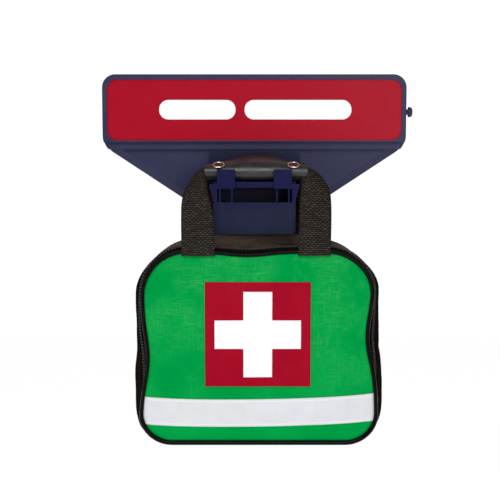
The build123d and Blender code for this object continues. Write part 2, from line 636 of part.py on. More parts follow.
with BuildPart() as windlass_clip:
    with BuildSketch(Plane.YZ.offset(CLIP_X - CLIP_W / 2)):
        with Locations((-(PLATE_FAR + CLIP_JAW_FAR) / 2, TQ_Z)):
            Rectangle(CLIP_JAW_FAR - PLATE_FAR, 2 * ROD_R + 6.5)
        with Locations((-CLIP_JAW_FAR - 0.8, TQ_Z)):
            Circle(ROD_R + 0.6, mode=Mode.SUBTRACT)
    extrude(amount=CLIP_W)
save(windlass_clip, "windlass_clip")

save(pack(PLATE_FAR, PLATE_FAR + 0.6, 22, TQ_Z - 15, TQ_Z + 15, (-24.0,), 2.0), "time_tag")

with BuildPart() as windlass_rod:
    with BuildSketch(Plane.YZ.offset(-ROD_HALF_L)):
        with Locations((-ROD_DEPTH, TQ_Z)):
            Circle(ROD_R)
    extrude(amount=2 * ROD_HALF_L)
    chamfer(windlass_rod.faces().filter_by(Axis.X).edges(), 1.2)
    with BuildSketch(wall_plane(ROD_DEPTH - ROD_R)):
        with Locations((0, TQ_Z)):
            SlotOverall(13.0, 2.4)
    extrude(amount=2 * ROD_R, mode=Mode.SUBTRACT)
save(windlass_rod, "windlass_rod")

with BuildPart() as windlass_loop:
    with BuildSketch(wall_plane(PLATE_NEAR + 0.3)):
        with Locations((0, TQ_Z)):
            Rectangle(10.4, 1.6)
    extrude(amount=ROD_DEPTH + ROD_R + 0.6 - PLATE_NEAR - 0.3)
save(windlass_loop, "windlass_loop")

with BuildPart() as elastic_loops:
    half_h = TQ_WEB / 2 + 0.3
    for side in (-1, 1):
        with BuildSketch(Plane.YZ.offset(side * LOOP_X - LOOP_W / 2)):
            block_depth = TQ_FAR + 0.3 + LOOP_T - BOARD_FAR
            with Locations((-BOARD_FAR - block_depth / 2, TQ_Z)):
                Rectangle(block_depth, 2 * (half_h + LOOP_T))
            with Locations((-BOARD_FAR - (block_depth - LOOP_T) / 2, TQ_Z)):
                Rectangle(block_depth - LOOP_T, 2 * half_h, mode=Mode.SUBTRACT)
        extrude(amount=LOOP_W)
save(elastic_loops, "elastic_loops")

# ---------------------------------------------------------------- the rest of the contents
STOW_NEAR = BOARD_FAR + 0.4
save(pack(STOW_NEAR, 46, 62, -300, -216, (-69.0, 69.0), 9), "pressure_dressings")
save(pack(STOW_NEAR, 31.5, 66, -298, -222, corner=5), "gauze_pack")
save(pack(32.0, 45, 66, -298, -222, corner=5), "glove_pack")
save(pack(STOW_NEAR, 38.5, 100, -214, -152, corner=5), "foil_blanket")

PEN_DEPTH, PEN_Z, PEN_R, PEN_NOSE_R, CAP_R = 52.0, -152.0, 5.5, 4.4, 6.2
PEN_BACK_X, PEN_STEP_X, PEN_NOSE_X, CAP_END_X = -70.0, 30.0, 58.0, 64.0


def rod_along_x(x_near, x_far, radius, depth, z, mode=Mode.ADD):
    """A round bar along X in the open part."""
    with BuildSketch(Plane.YZ.offset(x_near)) as section:
        with Locations((-depth, z)):
            Circle(radius)
    extrude(section.sketch, amount=x_far - x_near, mode=mode)


with BuildPart() as pen_barrel:
    rod_along_x(PEN_BACK_X, PEN_STEP_X, PEN_R, PEN_DEPTH, PEN_Z)
    rod_along_x(PEN_STEP_X, PEN_NOSE_X, PEN_NOSE_R, PEN_DEPTH, PEN_Z)
save(pen_barrel, "pen_barrel")

with BuildPart() as pen_cap:
    rod_along_x(PEN_STEP_X + CLEARANCE, CAP_END_X, CAP_R, PEN_DEPTH, PEN_Z)
    rod_along_x(PEN_STEP_X, PEN_NOSE_X + 2, PEN_NOSE_R + 0.08, PEN_DEPTH, PEN_Z, Mode.SUBTRACT)
save(pen_cap, "pen_cap")
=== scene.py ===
"""Looks of the bleed control kit: fabric, webbing, grip, zip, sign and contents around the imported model.

Lengths are written in millimetres and turned into metres by MM, but for the camera, lights and floor. A
depth d lies at Y = -d.
"""

from math import cos, exp, hypot, pi, radians, sin

import bmesh
import bpy
import numpy as np
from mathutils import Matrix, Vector, noise
from mathutils.bvhtree import BVHTree


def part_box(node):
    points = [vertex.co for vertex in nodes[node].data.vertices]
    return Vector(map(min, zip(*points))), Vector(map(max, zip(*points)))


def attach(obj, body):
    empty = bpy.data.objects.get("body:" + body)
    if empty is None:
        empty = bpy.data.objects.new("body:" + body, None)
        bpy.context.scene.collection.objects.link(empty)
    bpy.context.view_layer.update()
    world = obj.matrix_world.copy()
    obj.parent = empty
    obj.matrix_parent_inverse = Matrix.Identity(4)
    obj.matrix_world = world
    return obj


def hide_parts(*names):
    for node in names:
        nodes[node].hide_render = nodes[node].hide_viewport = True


MM = 0.001
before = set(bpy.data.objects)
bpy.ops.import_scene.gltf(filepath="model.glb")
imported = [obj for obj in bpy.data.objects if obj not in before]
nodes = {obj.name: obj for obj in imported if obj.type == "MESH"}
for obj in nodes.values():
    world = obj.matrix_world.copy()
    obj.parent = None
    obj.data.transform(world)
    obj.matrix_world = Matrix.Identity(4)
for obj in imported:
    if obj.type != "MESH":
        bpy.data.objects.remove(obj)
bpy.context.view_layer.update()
COLLECTION = bpy.context.scene.collection


# ---------------------------------------------------------------- camera, light and stage, in metres
CAMERA_PLACE = (-0.0042, -1.122, -0.023)
CAMERA_TILT = radians(84.0)  # up from straight down
LENS_MM, SENSOR_MM = 80, 36
LIGHT_STRENGTH, SEEN_STRENGTH = 0.295, 1.05
FLOOR_HEIGHT, FLOOR_REACH = -1.35, 6.0
FLOOR_TINT, FLOOR_GLOW = 0.9, 0.72
LAMPS = (  # name, place, aim, size and power
    ("key", (-0.25, -1.45, 0.85), (0, -0.05, -0.12), (1.1, 0.35), 13.4),
    ("fill", (0.5, -1.5, 0.06), (0, -0.05, -0.15), (0.6, 0.6), 5.0),
    ("low", (-0.9, -1.1, -0.35), (0, -0.05, -0.2), (0.5, 0.5), 2.0),
)


def add_object(name, data):
    obj = bpy.data.objects.new(name, data)
    COLLECTION.objects.link(obj)
    return obj


def add_camera():
    camera = add_object("camera", bpy.data.cameras.new("camera"))
    camera.location = CAMERA_PLACE
    camera.rotation_euler = (CAMERA_TILT, 0, 0)
    camera.data.sensor_width = SENSOR_MM
    camera.data.lens = LENS_MM
    bpy.context.scene.camera = camera


def add_area_light(name, place, aim, size, power):
    lamp = bpy.data.lights.new(name, "AREA")
    lamp.shape = "RECTANGLE"
    lamp.size, lamp.size_y = size
    lamp.energy = power
    light = add_object(name, lamp)
    light.location = place
    light.rotation_euler = (Vector(aim) - Vector(place)).to_track_quat("-Z", "Y").to_euler()


def add_world():
    world = bpy.data.worlds.new("studio")
    bpy.context.scene.world = world
    world.use_nodes = True
    tree = world.node_tree
    tree.nodes.clear()
    out = tree.nodes.new("ShaderNodeOutputWorld")
    path, mix = tree.nodes.new("ShaderNodeLightPath"), tree.nodes.new("ShaderNodeMixShader")
    tree.links.new(path.outputs["Is Camera Ray"], mix.inputs[0])
    for socket, strength in ((1, LIGHT_STRENGTH), (2, SEEN_STRENGTH)):
        background = tree.nodes.new("ShaderNodeBackground")
        background.inputs["Color"].default_value = (1, 1, 1, 1)
        background.inputs["Strength"].default_value = strength
        tree.links.new(background.outputs[0], mix.inputs[socket])
    tree.links.new(mix.outputs[0], out.inputs["Surface"])


def add_floor():
    mesh = bpy.data.meshes.new("floor")
    corners = ((-FLOOR_REACH, -FLOOR_REACH), (FLOOR_REACH, -FLOOR_REACH), (FLOOR_REACH, FLOOR_REACH),
               (-FLOOR_REACH, FLOOR_REACH))
    mesh.from_pydata([(x, y, FLOOR_HEIGHT) for x, y in corners], [], [(0, 1, 2, 3)])
    floor = add_object("floor", mesh)
    paper = bpy.data.materials.new("floor_paper")
    paper.use_nodes = True
    sockets = paper.node_tree.nodes["Principled BSDF"].inputs
    sockets["Base Color"].default_value = (FLOOR_TINT, FLOOR_TINT, FLOOR_TINT, 1)
    sockets["Roughness"].default_value = 0.9
    sockets["Emission Color"].default_value = (1, 1, 1, 1)
    sockets["Emission Strength"].default_value = FLOOR_GLOW
    mesh.materials.append(paper)


add_camera()
add_world()
add_floor()
for lamp_row in LAMPS:
    add_area_light(*lamp_row)
bpy.context.scene.view_settings.view_transform = "Standard"


# ---------------------------------------------------------------- materials
def linear(red, green, blue):
    """An sRGB colour in 0 to 255 as the linear values that shaders take."""
    def channel(value):
        value /= 255
        return value / 12.92 if value <= 0.04045 else ((value + 0.055) / 1.055) ** 2.4
    return channel(red), channel(green), channel(blue), 1.0


def dimmed(tint, share):
    return tuple(min(value * share, 1) for value in tint[:3]) + (1,)


class Paint:
    """A material being built: its node tree and shader, with short calls for the usual nodes."""

    def __init__(self, name, roughness=0.5, **sockets):
        self.material = bpy.data.materials.new(name)
        self.material.use_nodes = True
        self.tree = self.material.node_tree
        self.shader = self.tree.nodes["Principled BSDF"]
        self.shader.inputs["Roughness"].default_value = roughness
        self.shader.inputs["Specular IOR Level"].default_value = 0.2
        for socket, value in sockets.items():
            self.shader.inputs[socket.replace("_", " ")].default_value = value

    def node(self, kind, inputs=(), **settings):
        made = self.tree.nodes.new("ShaderNode" + kind)
        for key, value in settings.items():
            setattr(made, key, value)
        for index, value in enumerate(inputs):
            if value is None:
                continue
            if isinstance(value, bpy.types.NodeSocket):
                self.tree.links.new(value, made.inputs[index])
            else:
                made.inputs[index].default_value = value
        return made

    def math(self, operation, *values):
        return self.node("Math", values, operation=operation).outputs[0]

    def times(self, a, b):
        return self.math("MULTIPLY", a, b)

    def minus(self, a, b):
        return self.math("SUBTRACT", a, b)

    def size(self, a):
        return self.math("ABSOLUTE", a)

    def spread(self, value, from_low, from_high, low, high):
        """The value's range from_low to from_high carried over to low to high, and clamped there."""
        return self.node("MapRange", [value, from_low, from_high, low, high]).outputs[0]

    def stretched(self, place, *scale):
        made = self.node("Mapping", [place], vector_type="POINT")
        made.inputs["Scale"].default_value = scale
        return made.outputs[0]

    def place(self, kind="Object"):
        """Position in millimetres: of the part itself, or over the cloth when kind is UV."""
        source = self.node("TexCoord").outputs[kind]
        return self.node("VectorMath", [source, (1000, 1000, 1000)], operation="MULTIPLY").outputs[0]

    def split(self, vector):
        parts = self.node("SeparateXYZ", [vector])
        return parts.outputs[0], parts.outputs[1], parts.outputs[2]

    def noise(self, place, scale, detail=2.0, roughness=0.5):
        made = self.node("TexNoise", [place])
        made.inputs["Scale"].default_value = scale
        made.inputs["Detail"].default_value = detail
        made.inputs["Roughness"].default_value = roughness
        return made.outputs["Fac"]

    def cells(self, place, scale, feature="F1"):
        made = self.node("TexVoronoi", [place], feature=feature)
        made.inputs["Scale"].default_value = scale
        return made.outputs["Distance"]

    def ramp(self, factor, low, high, dark, light):
        """A colour that runs from dark to light as the factor runs from low to high."""
        made = self.node("ValToRGB", [factor])
        made.color_ramp.elements[0].position = low
        made.color_ramp.elements[1].position = high
        made.color_ramp.elements[0].color = dark
        made.color_ramp.elements[1].color = light
        return made.outputs[0]

    def mix(self, factor, a, b):
        made = self.tree.nodes.new("ShaderNodeMix")
        made.data_type = "RGBA"
        for socket, value in ((made.inputs[0], factor), (made.inputs[6], a), (made.inputs[7], b)):
            if isinstance(value, bpy.types.NodeSocket):
                self.tree.links.new(value, socket)
            else:
                socket.default_value = value
        return made.outputs[2]

    def colour(self, socket):
        self.tree.links.new(socket, self.shader.inputs["Base Color"])

    def roughness(self, factor, low, high):
        self.tree.links.new(self.spread(factor, 0.3, 0.7, low, high), self.shader.inputs["Roughness"])

    def bump(self, height, depth_mm, strength=1.0, under=None):
        made = self.node("Bump")
        made.inputs["Strength"].default_value = strength
        made.inputs["Distance"].default_value = depth_mm * MM
        self.tree.links.new(height, made.inputs["Height"])
        if under is not None:
            self.tree.links.new(under, made.inputs["Normal"])
        self.tree.links.new(made.outputs[0], self.shader.inputs["Normal"])
        return made.outputs[0]

    def weave(self, u, v, pitch):
        """Height of a plain weave: rounded threads that pass over and under each other."""
        wave_u = self.math("SINE", self.times(u, pi / pitch))
        wave_v = self.math("SINE", self.times(v, pi / pitch))
        over = self.math("GREATER_THAN", self.times(wave_u, wave_v), 0.0)
        return self.node("Mix", [over, None, self.size(wave_u), self.size(wave_v)]).outputs[0]

# ---------------------------------------------------------------- mesh helpers, all in millimetres
def wall_point(x, depth, z):
    return Vector((x, -depth, z)) * MM


def smooth_object(name, vertices, faces, corner_uvs=None):
    """A smooth-shaded mesh, in metres; corner_uvs is one (u, v) for each face corner."""
    mesh = bpy.data.meshes.new(name)
    mesh.from_pydata(vertices, [], faces)
    if corner_uvs is not None:
        mesh.uv_layers.new(name="cloth").data.foreach_set("uv", np.ravel(corner_uvs))
    mesh.shade_smooth()
    return add_object(name, mesh)


def skin(name, rows, closed=False, capped=False, flip=False):
    """A sheet through rows of points, with its lengths as UVs. Closed joins each row's two ends."""
    rows = [[Vector(p) for p in row] for row in rows]
    count = len(rows[0])
    middle = rows[len(rows) // 2]
    across = [0.0]
    for j in range(count if closed else count - 1):
        across.append(across[-1] + (middle[(j + 1) % count] - middle[j]).length)
    along = [0.0]
    for i in range(len(rows) - 1):
        steps = [(rows[i + 1][j] - rows[i][j]).length for j in range(0, count, max(1, count // 8))]
        along.append(along[-1] + sum(steps) / len(steps))
    faces, uvs = [], []
    for i in range(len(rows) - 1):
        for j in range(len(across) - 1):
            right = (j + 1) % count
            face = [(i, j, j), (i, right, j + 1), (i + 1, right, j + 1), (i + 1, j, j)]
            if flip:
                face.reverse()
            faces.append([row * count + column for row, column, _ in face])
            uvs += [(across[step], along[row]) for row, _, step in face]
    if capped:
        ends = ((0, reversed(range(count))), (len(rows) - 1, range(count)))
        for row, order in ends[:1] if capped == "start" else ends:
            ring = [row * count + j for j in order]
            faces.append(ring[::-1] if flip else ring)
            uvs += [(0.0, 0.0)] * count
    vertices = [wall_point(*p) for row in rows for p in row]
    return smooth_object(name, vertices, faces, np.array(uvs, dtype=np.float32) * MM)


def grid(name, place, xs, zs, **options):
    """A sheet of the points that place gives for every x and z, with a row for each z."""
    return skin(name, [[place(x, z) for x in xs] for z in zs], **options)


def smooth_rows(stations, count):
    """Stations of numbers joined by an even Catmull-Rom curve: count rows of the same numbers."""
    table = np.array(stations, float)
    padded = np.vstack([2 * table[0] - table[1], table, 2 * table[-1] - table[-2]])
    rows = []
    for place in np.linspace(0, len(table) - 1, count):
        i = min(int(place), len(table) - 2)
        t = place - i
        a, b, c, d = padded[i:i + 4]
        curve = 2 * b + (c - a) * t + (2 * a - 5 * b + 4 * c - d) * t * t + (3 * b - a - 3 * c + d) * t ** 3
        rows.append(curve / 2)
    return rows


def circle(centre, side, other, radius, steps):
    turns = [2 * pi * k / steps for k in range(steps)]
    return [centre + (side * cos(turn) + other * sin(turn)) * radius for turn in turns]


def closed_tube(name, path, radii, sides=14):
    """A round tube along a closed line of points, with a radius for each."""
    side = None
    rows = []
    for i, (p, radius) in enumerate(zip(path, radii)):
        ahead = (path[(i + 1) % len(path)] - path[i - 1]).normalized()
        side = side or ahead.orthogonal()
        side = (side - ahead * ahead.dot(side)).normalized()
        rows.append(circle(p, side, ahead.cross(side), radius, sides))
    return skin(name, rows + rows[:1], closed=True, flip=True)


def revolve(name, profile, centre, axis, steps=40):
    """A turned shape: (radius, height) pairs turned about an axis through centre (x, depth, z)."""
    side = axis.orthogonal().normalized()
    other = axis.cross(side)
    rows = [circle(centre + axis * height, side, other, radius, steps) for radius, height in profile]
    return skin(name, rows, closed=True, capped=True)


def thicken(obj, thickness, offset=-1.0):
    made = obj.modifiers.new("thickness", "SOLIDIFY")
    made.thickness, made.offset = thickness * MM, offset
    return obj


def soften_edges(obj, width, segments=2):
    made = obj.modifiers.new("edges", "BEVEL")
    made.width, made.segments, made.limit_method = width * MM, segments, "ANGLE"
    return obj


def joined(name, objects):
    """Several meshes as one object."""
    offset, vertices, faces, uvs = 0, [], [], []
    for obj in objects:
        mesh = obj.data
        vertices += [v.co.copy() for v in mesh.vertices]
        faces += [[offset + i for i in face.vertices] for face in mesh.polygons]
        uvs += [tuple(item.uv) for item in mesh.uv_layers[0].data]
        offset += len(mesh.vertices)
        bpy.data.objects.remove(obj)
    return smooth_object(name, vertices, faces, uvs)


def add_piece(obj, material, body, replaced=()):
    """Gives a piece its material, the body it rides on and the CAD nodes it replaces."""
    obj.data.materials.append(material)
    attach(obj, body)
    if replaced:
        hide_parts(*replaced)
    return obj


def step_between(value, low, high):
    """0 below low, 1 above high and a smooth rise between; low may be the larger one."""
    t = min(max((value - low) / (high - low), 0.0), 1.0)
    return t * t * (3 - 2 * t)


def hump(value, middle, width, power=2):
    """1 in the middle, falling away evenly on both sides. A higher power makes a flatter top."""
    return exp(-(((value - middle) / width) ** power))


# ---------------------------------------------------------------- the bag's soft outline, in millimetres
# The front seam runs round the panel. Every band of the bag is this line moved outwards and from the wall.
SEAM_HALF_W, SEAM_TOP, SEAM_FOOT = 107.4, -134.7, -314.4
SEAM_R_TOP, SEAM_R_FOOT = 42.0, 27.0
SEAM_STEPS = 264
BACK_DEPTH, SEAM_DEPTH = 15.0, 87.0
LEAN_X = 3.1  # the soft bag hangs a little to the right of the hooks
CORNER_STEPS = 60
# how far the cloth goes past the seam line: at the sides, the foot and its corners, less at the top's corners
SIDE_BULGE, FOOT_BULGE, FOOT_CORNER, TOP_CORNER = 10.3, 2.5, 14.4, -7.0
# the top: its ridge behind the front seam, the dip under the bracket's apron and beside it, and the rise at
# the wall side, most between the handles that carry it
TOP_RIDGE, APRON_DIP, BESIDE_DIP, WALL_RISE, CARRIED_RISE = 4.6, 5.8, -1.5, 1.2, 7.6
# the zip is tacked down at its ends and held in where its slider stops: distance, height and reach
HELD_IN = ((5.6, -282, 34), (1.8, -178, 20))
# the waist of the front seam, left and right: distance, height and reach
WAIST_LEFT, WAIST_RIGHT = (5.8, -236, 32), (6.1, -217, 30)
SAG, WIDER_FOOT = 3.3, 0.024


def seam_points():
    """Evenly spaced (x, z, normal x, normal z) round the straightened seam, from the middle of the foot."""
    half, top, foot = SEAM_HALF_W, SEAM_TOP, SEAM_FOOT
    dense = [(x, foot, 0, -1) for x in np.linspace(0, half - SEAM_R_FOOT, CORNER_STEPS)]
    corners = (
        (half - SEAM_R_FOOT, foot + SEAM_R_FOOT, SEAM_R_FOOT, -90),
        (half - SEAM_R_TOP, top - SEAM_R_TOP, SEAM_R_TOP, 0),
    )
    for x, z, radius, start in corners:
        for angle in np.radians(np.linspace(start, start + 90, CORNER_STEPS)):
            dense.append((x + radius * cos(angle), z + radius * sin(angle), cos(angle), sin(angle)))
    dense.append((0, top, 0, 1))
    dense += [(-x, z, -nx, nz) for x, z, nx, nz in reversed(dense[:-1])]
    dense = np.array(dense)
    lengths = np.concatenate([[0], np.cumsum(np.hypot(*np.diff(dense[:, :2], axis=0).T))])
    places = np.linspace(0, lengths[-1], SEAM_STEPS, endpoint=False)
    return np.array([np.interp(places, lengths, dense[:, k]) for k in range(4)]).T


SEAM = seam_points()


def pinch(x, z):
    """How far the front seam is drawn in at the waist."""
    distance, height, reach = WAIST_LEFT if x < 0 else WAIST_RIGHT
    return distance * hump(z, height, reach)


def slack(x, depth, z):
    """Soft creases in the sides: the distance by which the cloth leaves its even shape."""
    fold = noise.noise(Vector((x * 0.035, depth * 0.05, z * 0.022)))
    crease = noise.noise(Vector((x * 0.07 + 9, depth * 0.14, z * 0.05)))
    return 2.2 * fold + 1.3 * crease


def bag_point(x, z, nx, nz, out, depth):
    """A seam point moved out along its normal at a depth, then given the bag's soft shape."""
    front = step_between(depth, 30, SEAM_DEPTH)
    across = min(max((depth - BACK_DEPTH) / (SEAM_DEPTH - BACK_DEPTH), 0.0), 1.0)
    belly = sin(pi * across) ** 0.75
    upward, downward = max(nz, 0) ** 2, max(-nz, 0) ** 2
    sideways = 1 - upward - downward
    corner = (FOOT_CORNER * downward + TOP_CORNER * upward) * nx * nx
    bulge = belly * (SIDE_BULGE * sideways + FOOT_BULGE * downward + corner)
    ridge = TOP_RIDGE * step_between(depth, 87, 79) * (1 - 0.5 * step_between(depth, 30, 14))
    under = hump(x, 0, 50, 6)
    dip = APRON_DIP * under + BESIDE_DIP * (1 - under)
    dip *= step_between(depth, 75, 66) * step_between(depth, 30, 44)
    rise = CARRIED_RISE * hump(x, 0, 62, 6) + WALL_RISE
    rise *= step_between(depth, 44, 26) * step_between(depth, -8, 20)
    bulge += (ridge - dip + rise) * upward
    bulge += slack(x, depth, z) * belly ** 1.5 * (1 - 0.6 * upward)
    held_in = sum(distance * hump(z, height, reach) for distance, height, reach in HELD_IN)
    bulge -= held_in * step_between(depth, 62, 74) * step_between(depth, 86.5, 82) * sideways
    x, z = x + nx * (out + bulge), z + nz * (out + bulge)
    widen = 1 + WIDER_FOOT * step_between(z, -180, -290)
    drawn = pinch(x, z) * (0.1 + 0.9 * front ** 2.5) * min(abs(x) / SEAM_HALF_W, 1.0) ** 3
    sag = SAG * hump(x, -9, 27) * step_between(z, -190, -136) * front
    lean = LEAN_X * step_between(z, -90, -160) + 0.8 * step_between(z, -180, -290)
    return Vector((x * widen - (drawn if x > 0 else -drawn) + lean, depth, z - sag))


def bag_band(name, near, far, cuts, out=0.0, foot=None):
    """A strip of the bag's side between two depths. With foot, it stops at that height on both sides."""
    ring = SEAM if foot is None else SEAM[SEAM[:, 1] > foot]
    rows = []
    for k in range(cuts + 1):
        row = []
        for x, z, nx, nz in ring:
            reach = far(z) if callable(far) else far
            row.append(bag_point(x, z, nx, nz, out, near + (reach - near) * k / cuts))
        rows.append(row)
    return skin(name, rows, closed=foot is None)


CENTRE_X, CENTRE_Z = 0.0, -226.0


def bag_face(name, edge_out, seam_depth, depth_at, rings, flip=False):
    """A whole front or back of the bag, in rings from its middle out to the seam."""
    rows = []
    for k in range(rings + 1):
        share = ((k + 0.1) / (rings + 0.1)) ** 0.85
        row = []
        for x, z, nx, nz in SEAM:
            inner_x, inner_z = CENTRE_X + (x - CENTRE_X) * share, CENTRE_Z + (z - CENTRE_Z) * share
            out = edge_out * share
            point = bag_point(inner_x, inner_z, nx * share, nz * share, out, seam_depth)
            point.y = depth_at(share, point.x, point.z)
            row.append(point)
        rows.append(row)
    return skin(name, rows, closed=True, capped="start", flip=flip)


# ---------------------------------------------------------------- materials, one per kind of surface
def moulded_plastic(name, tint, shade, roughness=0.42, grain=0.03, deep=None, **sockets):
    """Moulded plastic: fine grain, faint flow marks and uneven gloss. Deep is the tone of its upper front."""
    paint = Paint(name, roughness, **sockets)
    place = paint.place()
    cloud = paint.noise(place, 0.03, 3)
    grain_noise = paint.noise(place, 3.5, 2)
    colour = paint.ramp(cloud, 0.3, 0.7, shade, tint)
    if deep is not None:
        _, y, z = paint.split(place)
        above = paint.spread(z, -96.0, -84.0, 0.0, 1.0)
        front = paint.spread(y, -50.0, -56.0, 0.0, 1.0)
        colour = paint.mix(paint.times(above, front), colour, deep)
    paint.colour(colour)
    paint.roughness(cloud, roughness - 0.05, roughness + 0.06)
    paint.bump(grain_noise, grain, 0.6)
    return paint.material


def printed_film(name, tint, roughness=0.32):
    """Printed film: flat ink with faint unevenness under a smooth face."""
    paint = Paint(name, roughness, Specular_IOR_Level=0.08)
    place = paint.place()
    paint.colour(paint.ramp(paint.noise(place, 0.02, 2), 0.2, 0.8, tint, dimmed(tint, 0.94)))
    paint.roughness(paint.noise(place, 0.08, 3), roughness - 0.04, roughness + 0.06)
    paint.bump(paint.noise(place, 0.12, 2), 0.02, 0.4)
    return paint.material


def panel_cloth(name, deep, mid, light, thread_mm=0.95):
    """Coated nylon of the front: a plain weave with lighter threads showing in soft patches, and more of them
    towards the top as a painted top light.
    """
    paint = Paint(name, 0.7, Specular_IOR_Level=0.0)
    place = paint.place()
    x, _, z = paint.split(place)
    weave = paint.weave(x, z, thread_mm)
    patches = paint.noise(place, 0.022, 4, 0.55)
    base = paint.ramp(patches, 0.36, 0.66, deep, mid)
    warp = paint.noise(paint.stretched(place, 1.0, 1.0, 0.08), 0.9, 2)
    weft = paint.noise(paint.stretched(place, 0.08, 1.0, 1.0), 0.9, 2)
    threads = paint.times(paint.math("MAXIMUM", warp, weft), weave)
    threads_and_top_light = paint.times(paint.spread(threads, 0.42, 0.68, 0.0, 0.65),
                       paint.spread(patches, 0.42, 0.6, 0.0, 1.0))
    # painted light: the lighter threads show more towards the top, so the cloth's upper part is painted
    # lighter as if lit from above
    threads_and_top_light = paint.times(threads_and_top_light, paint.spread(z, -300.0, -140.0, 0.15, 1.35))
    paint.colour(paint.mix(threads_and_top_light, base, light))
    soft = paint.bump(paint.noise(place, 0.05, 2), 0.7, 0.5)
    paint.bump(weave, 0.10, 0.55, soft)
    return paint.material


def black_cloth(name, tint, light, thread_mm=0.7, roughness=0.5, top_light=None):
    """Close matt nylon: a fine weave with soft dents. The last argument is painted light on the bag's top: a
    lighter tone laid on in painted light streaks.
    """
    paint = Paint(name, roughness, Specular_IOR_Level=0.0)
    place = paint.place("UV")
    u, v, _ = paint.split(place)
    weave = paint.weave(u, v, thread_mm)
    cloud = paint.noise(paint.place(), 0.06, 4)
    cloth = paint.mix(paint.times(weave, cloud), tint, light)
    if top_light is not None:
        # painted light: the bag's top is painted in a lighter, streaky tone, as if lit
        _, _, z = paint.split(paint.place())
        light_streaks = paint.noise(paint.stretched(paint.place(), 0.03, 0.22, 0.22), 1.0, 3)
        top = paint.spread(z, -142.0, -136.0, 0.0, 1.0)
        cloth = paint.mix(paint.times(top, paint.spread(light_streaks, 0.3, 0.7, 0.35, 1.0)), cloth, top_light)
    paint.colour(cloth)
    paint.roughness(cloud, roughness - 0.1, roughness + 0.12)
    soft = paint.bump(paint.noise(paint.place(), 0.11, 3), 0.9, 0.6)
    paint.bump(weave, 0.08, 0.5, soft)
    return paint.material


def webbing(name, deep, light, pitch=(3.9, 1.9), dash=(3.7, 1.15)):
    """Heavy webbing: staggered rows of short floats on a dark ribbed ground, the floats painted lighter as a
    painted glint.
    """
    paint = Paint(name, 0.6, Specular_IOR_Level=0.12)
    place = paint.place("UV")
    wander = paint.node("TexNoise", [place])
    wander.inputs["Scale"].default_value = 0.25
    loose = paint.node("VectorMath", [wander.outputs["Color"], (2.6, 2.0, 0), place],
                       operation="MULTIPLY_ADD")
    u, v, _ = paint.split(loose.outputs[0])
    row = paint.math("DIVIDE", v, pitch[1])
    shift = paint.times(paint.math("MODULO", paint.math("FLOOR", row), 2.0), 0.5)
    column = paint.math("ADD", paint.math("DIVIDE", u, pitch[0]), shift)
    cell = paint.node("CombineXYZ", [paint.math("FLOOR", column), paint.math("FLOOR", row)]).outputs[0]
    across = paint.times(paint.minus(paint.math("FRACT", column), 0.5), 2 * pitch[0] / dash[0])
    upward = paint.times(paint.minus(paint.math("FRACT", row), 0.5), 2 * pitch[1] / dash[1])
    reach = paint.math("ADD", paint.times(across, across), paint.times(upward, upward))
    floats = paint.spread(reach, 0.0, 1.15, 1.0, 0.0)
    uneven = paint.node("TexWhiteNoise", [cell]).outputs["Value"]
    # painted highlight: each float is painted lighter, by a random amount from float to float, for the glint
    # it catches
    lit = paint.times(floats, paint.spread(uneven, 0.0, 1.0, 0.3, 1.0))
    paint.colour(paint.mix(lit, deep, light))
    paint.bump(floats, 0.45, 0.8)
    return paint.material


def leather(name, tint, shade, gloss=0.65):
    """Smooth coated leather: a fine pebble grain under a soft gloss, duller where it is handled."""
    paint = Paint(name, 0.3, Specular_IOR_Level=gloss)
    place = paint.place()
    pebbles = paint.cells(place, 1.1, "SMOOTH_F1")
    wear = paint.noise(place, 0.07, 3)
    paint.colour(paint.ramp(wear, 0.3, 0.7, shade, tint))
    paint.roughness(wear, 0.28, 0.4)
    soft = paint.bump(paint.noise(place, 0.25, 2), 0.25, 0.4)
    paint.bump(pebbles, 0.07, 0.5, soft)
    return paint.material


def metal(name, tint, roughness, scratch=0.03):
    paint = Paint(name, roughness, Metallic=1.0)
    place = paint.place()
    wear = paint.noise(place, 0.4, 4)
    paint.colour(paint.ramp(wear, 0.3, 0.7, tint, dimmed(tint, 0.8)))
    paint.roughness(wear, roughness, roughness + 0.15)
    paint.bump(paint.noise(place, 2.5, 3), scratch, 0.4)
    return paint.material


def soft_plastic(name, tint, shade, roughness=0.3, scale=0.12, depth=0.15, **sockets):
    """Film, vinyl or rubber: faint waves and uneven gloss."""
    paint = Paint(name, roughness, **sockets)
    place = paint.place()
    wave = paint.noise(place, scale, 3)
    paint.colour(paint.ramp(wave, 0.3, 0.7, shade, tint))
    paint.roughness(wave, roughness - 0.05, roughness + 0.1)
    paint.bump(wave, depth, 0.5)
    return paint.material


def reflective_tape(name, tint, silver, width):
    """Tape with white borders, a silvery beaded middle and a stitch line by each edge. V runs across it."""
    paint = Paint(name, 0.42)
    place = paint.place("UV")
    u, v, _ = paint.split(place)
    from_edge = paint.minus(width / 2, paint.size(paint.minus(v, width / 2)))
    middle = paint.spread(from_edge, 2.6, 3.0, 0.0, 1.0)
    cloud = paint.noise(place, 0.08, 3)
    silvery = paint.ramp(cloud, 0.25, 0.75, silver, dimmed(silver, 1.1))
    paint.colour(paint.mix(middle, tint, silvery))
    groove = paint.spread(paint.size(paint.minus(from_edge, 2.8)), 0.0, 0.5, 0.0, 1.0)
    stitch_gap = paint.size(paint.minus(from_edge, 1.4))
    run = paint.math("GREATER_THAN", paint.math("FRACT", paint.math("DIVIDE", u, 3.0)), 0.25)
    stitches = paint.times(run, paint.spread(stitch_gap, 0.0, 0.35, 1.0, 0.0))
    height = paint.minus(groove, paint.times(stitches, 0.8))
    soft = paint.bump(paint.noise(paint.place(), 0.045, 2), 0.8, 0.5)
    beaded = paint.bump(paint.cells(place, 0.8), 0.03, 0.4, soft)
    paint.bump(height, 0.18, 0.6, beaded)
    return paint.material


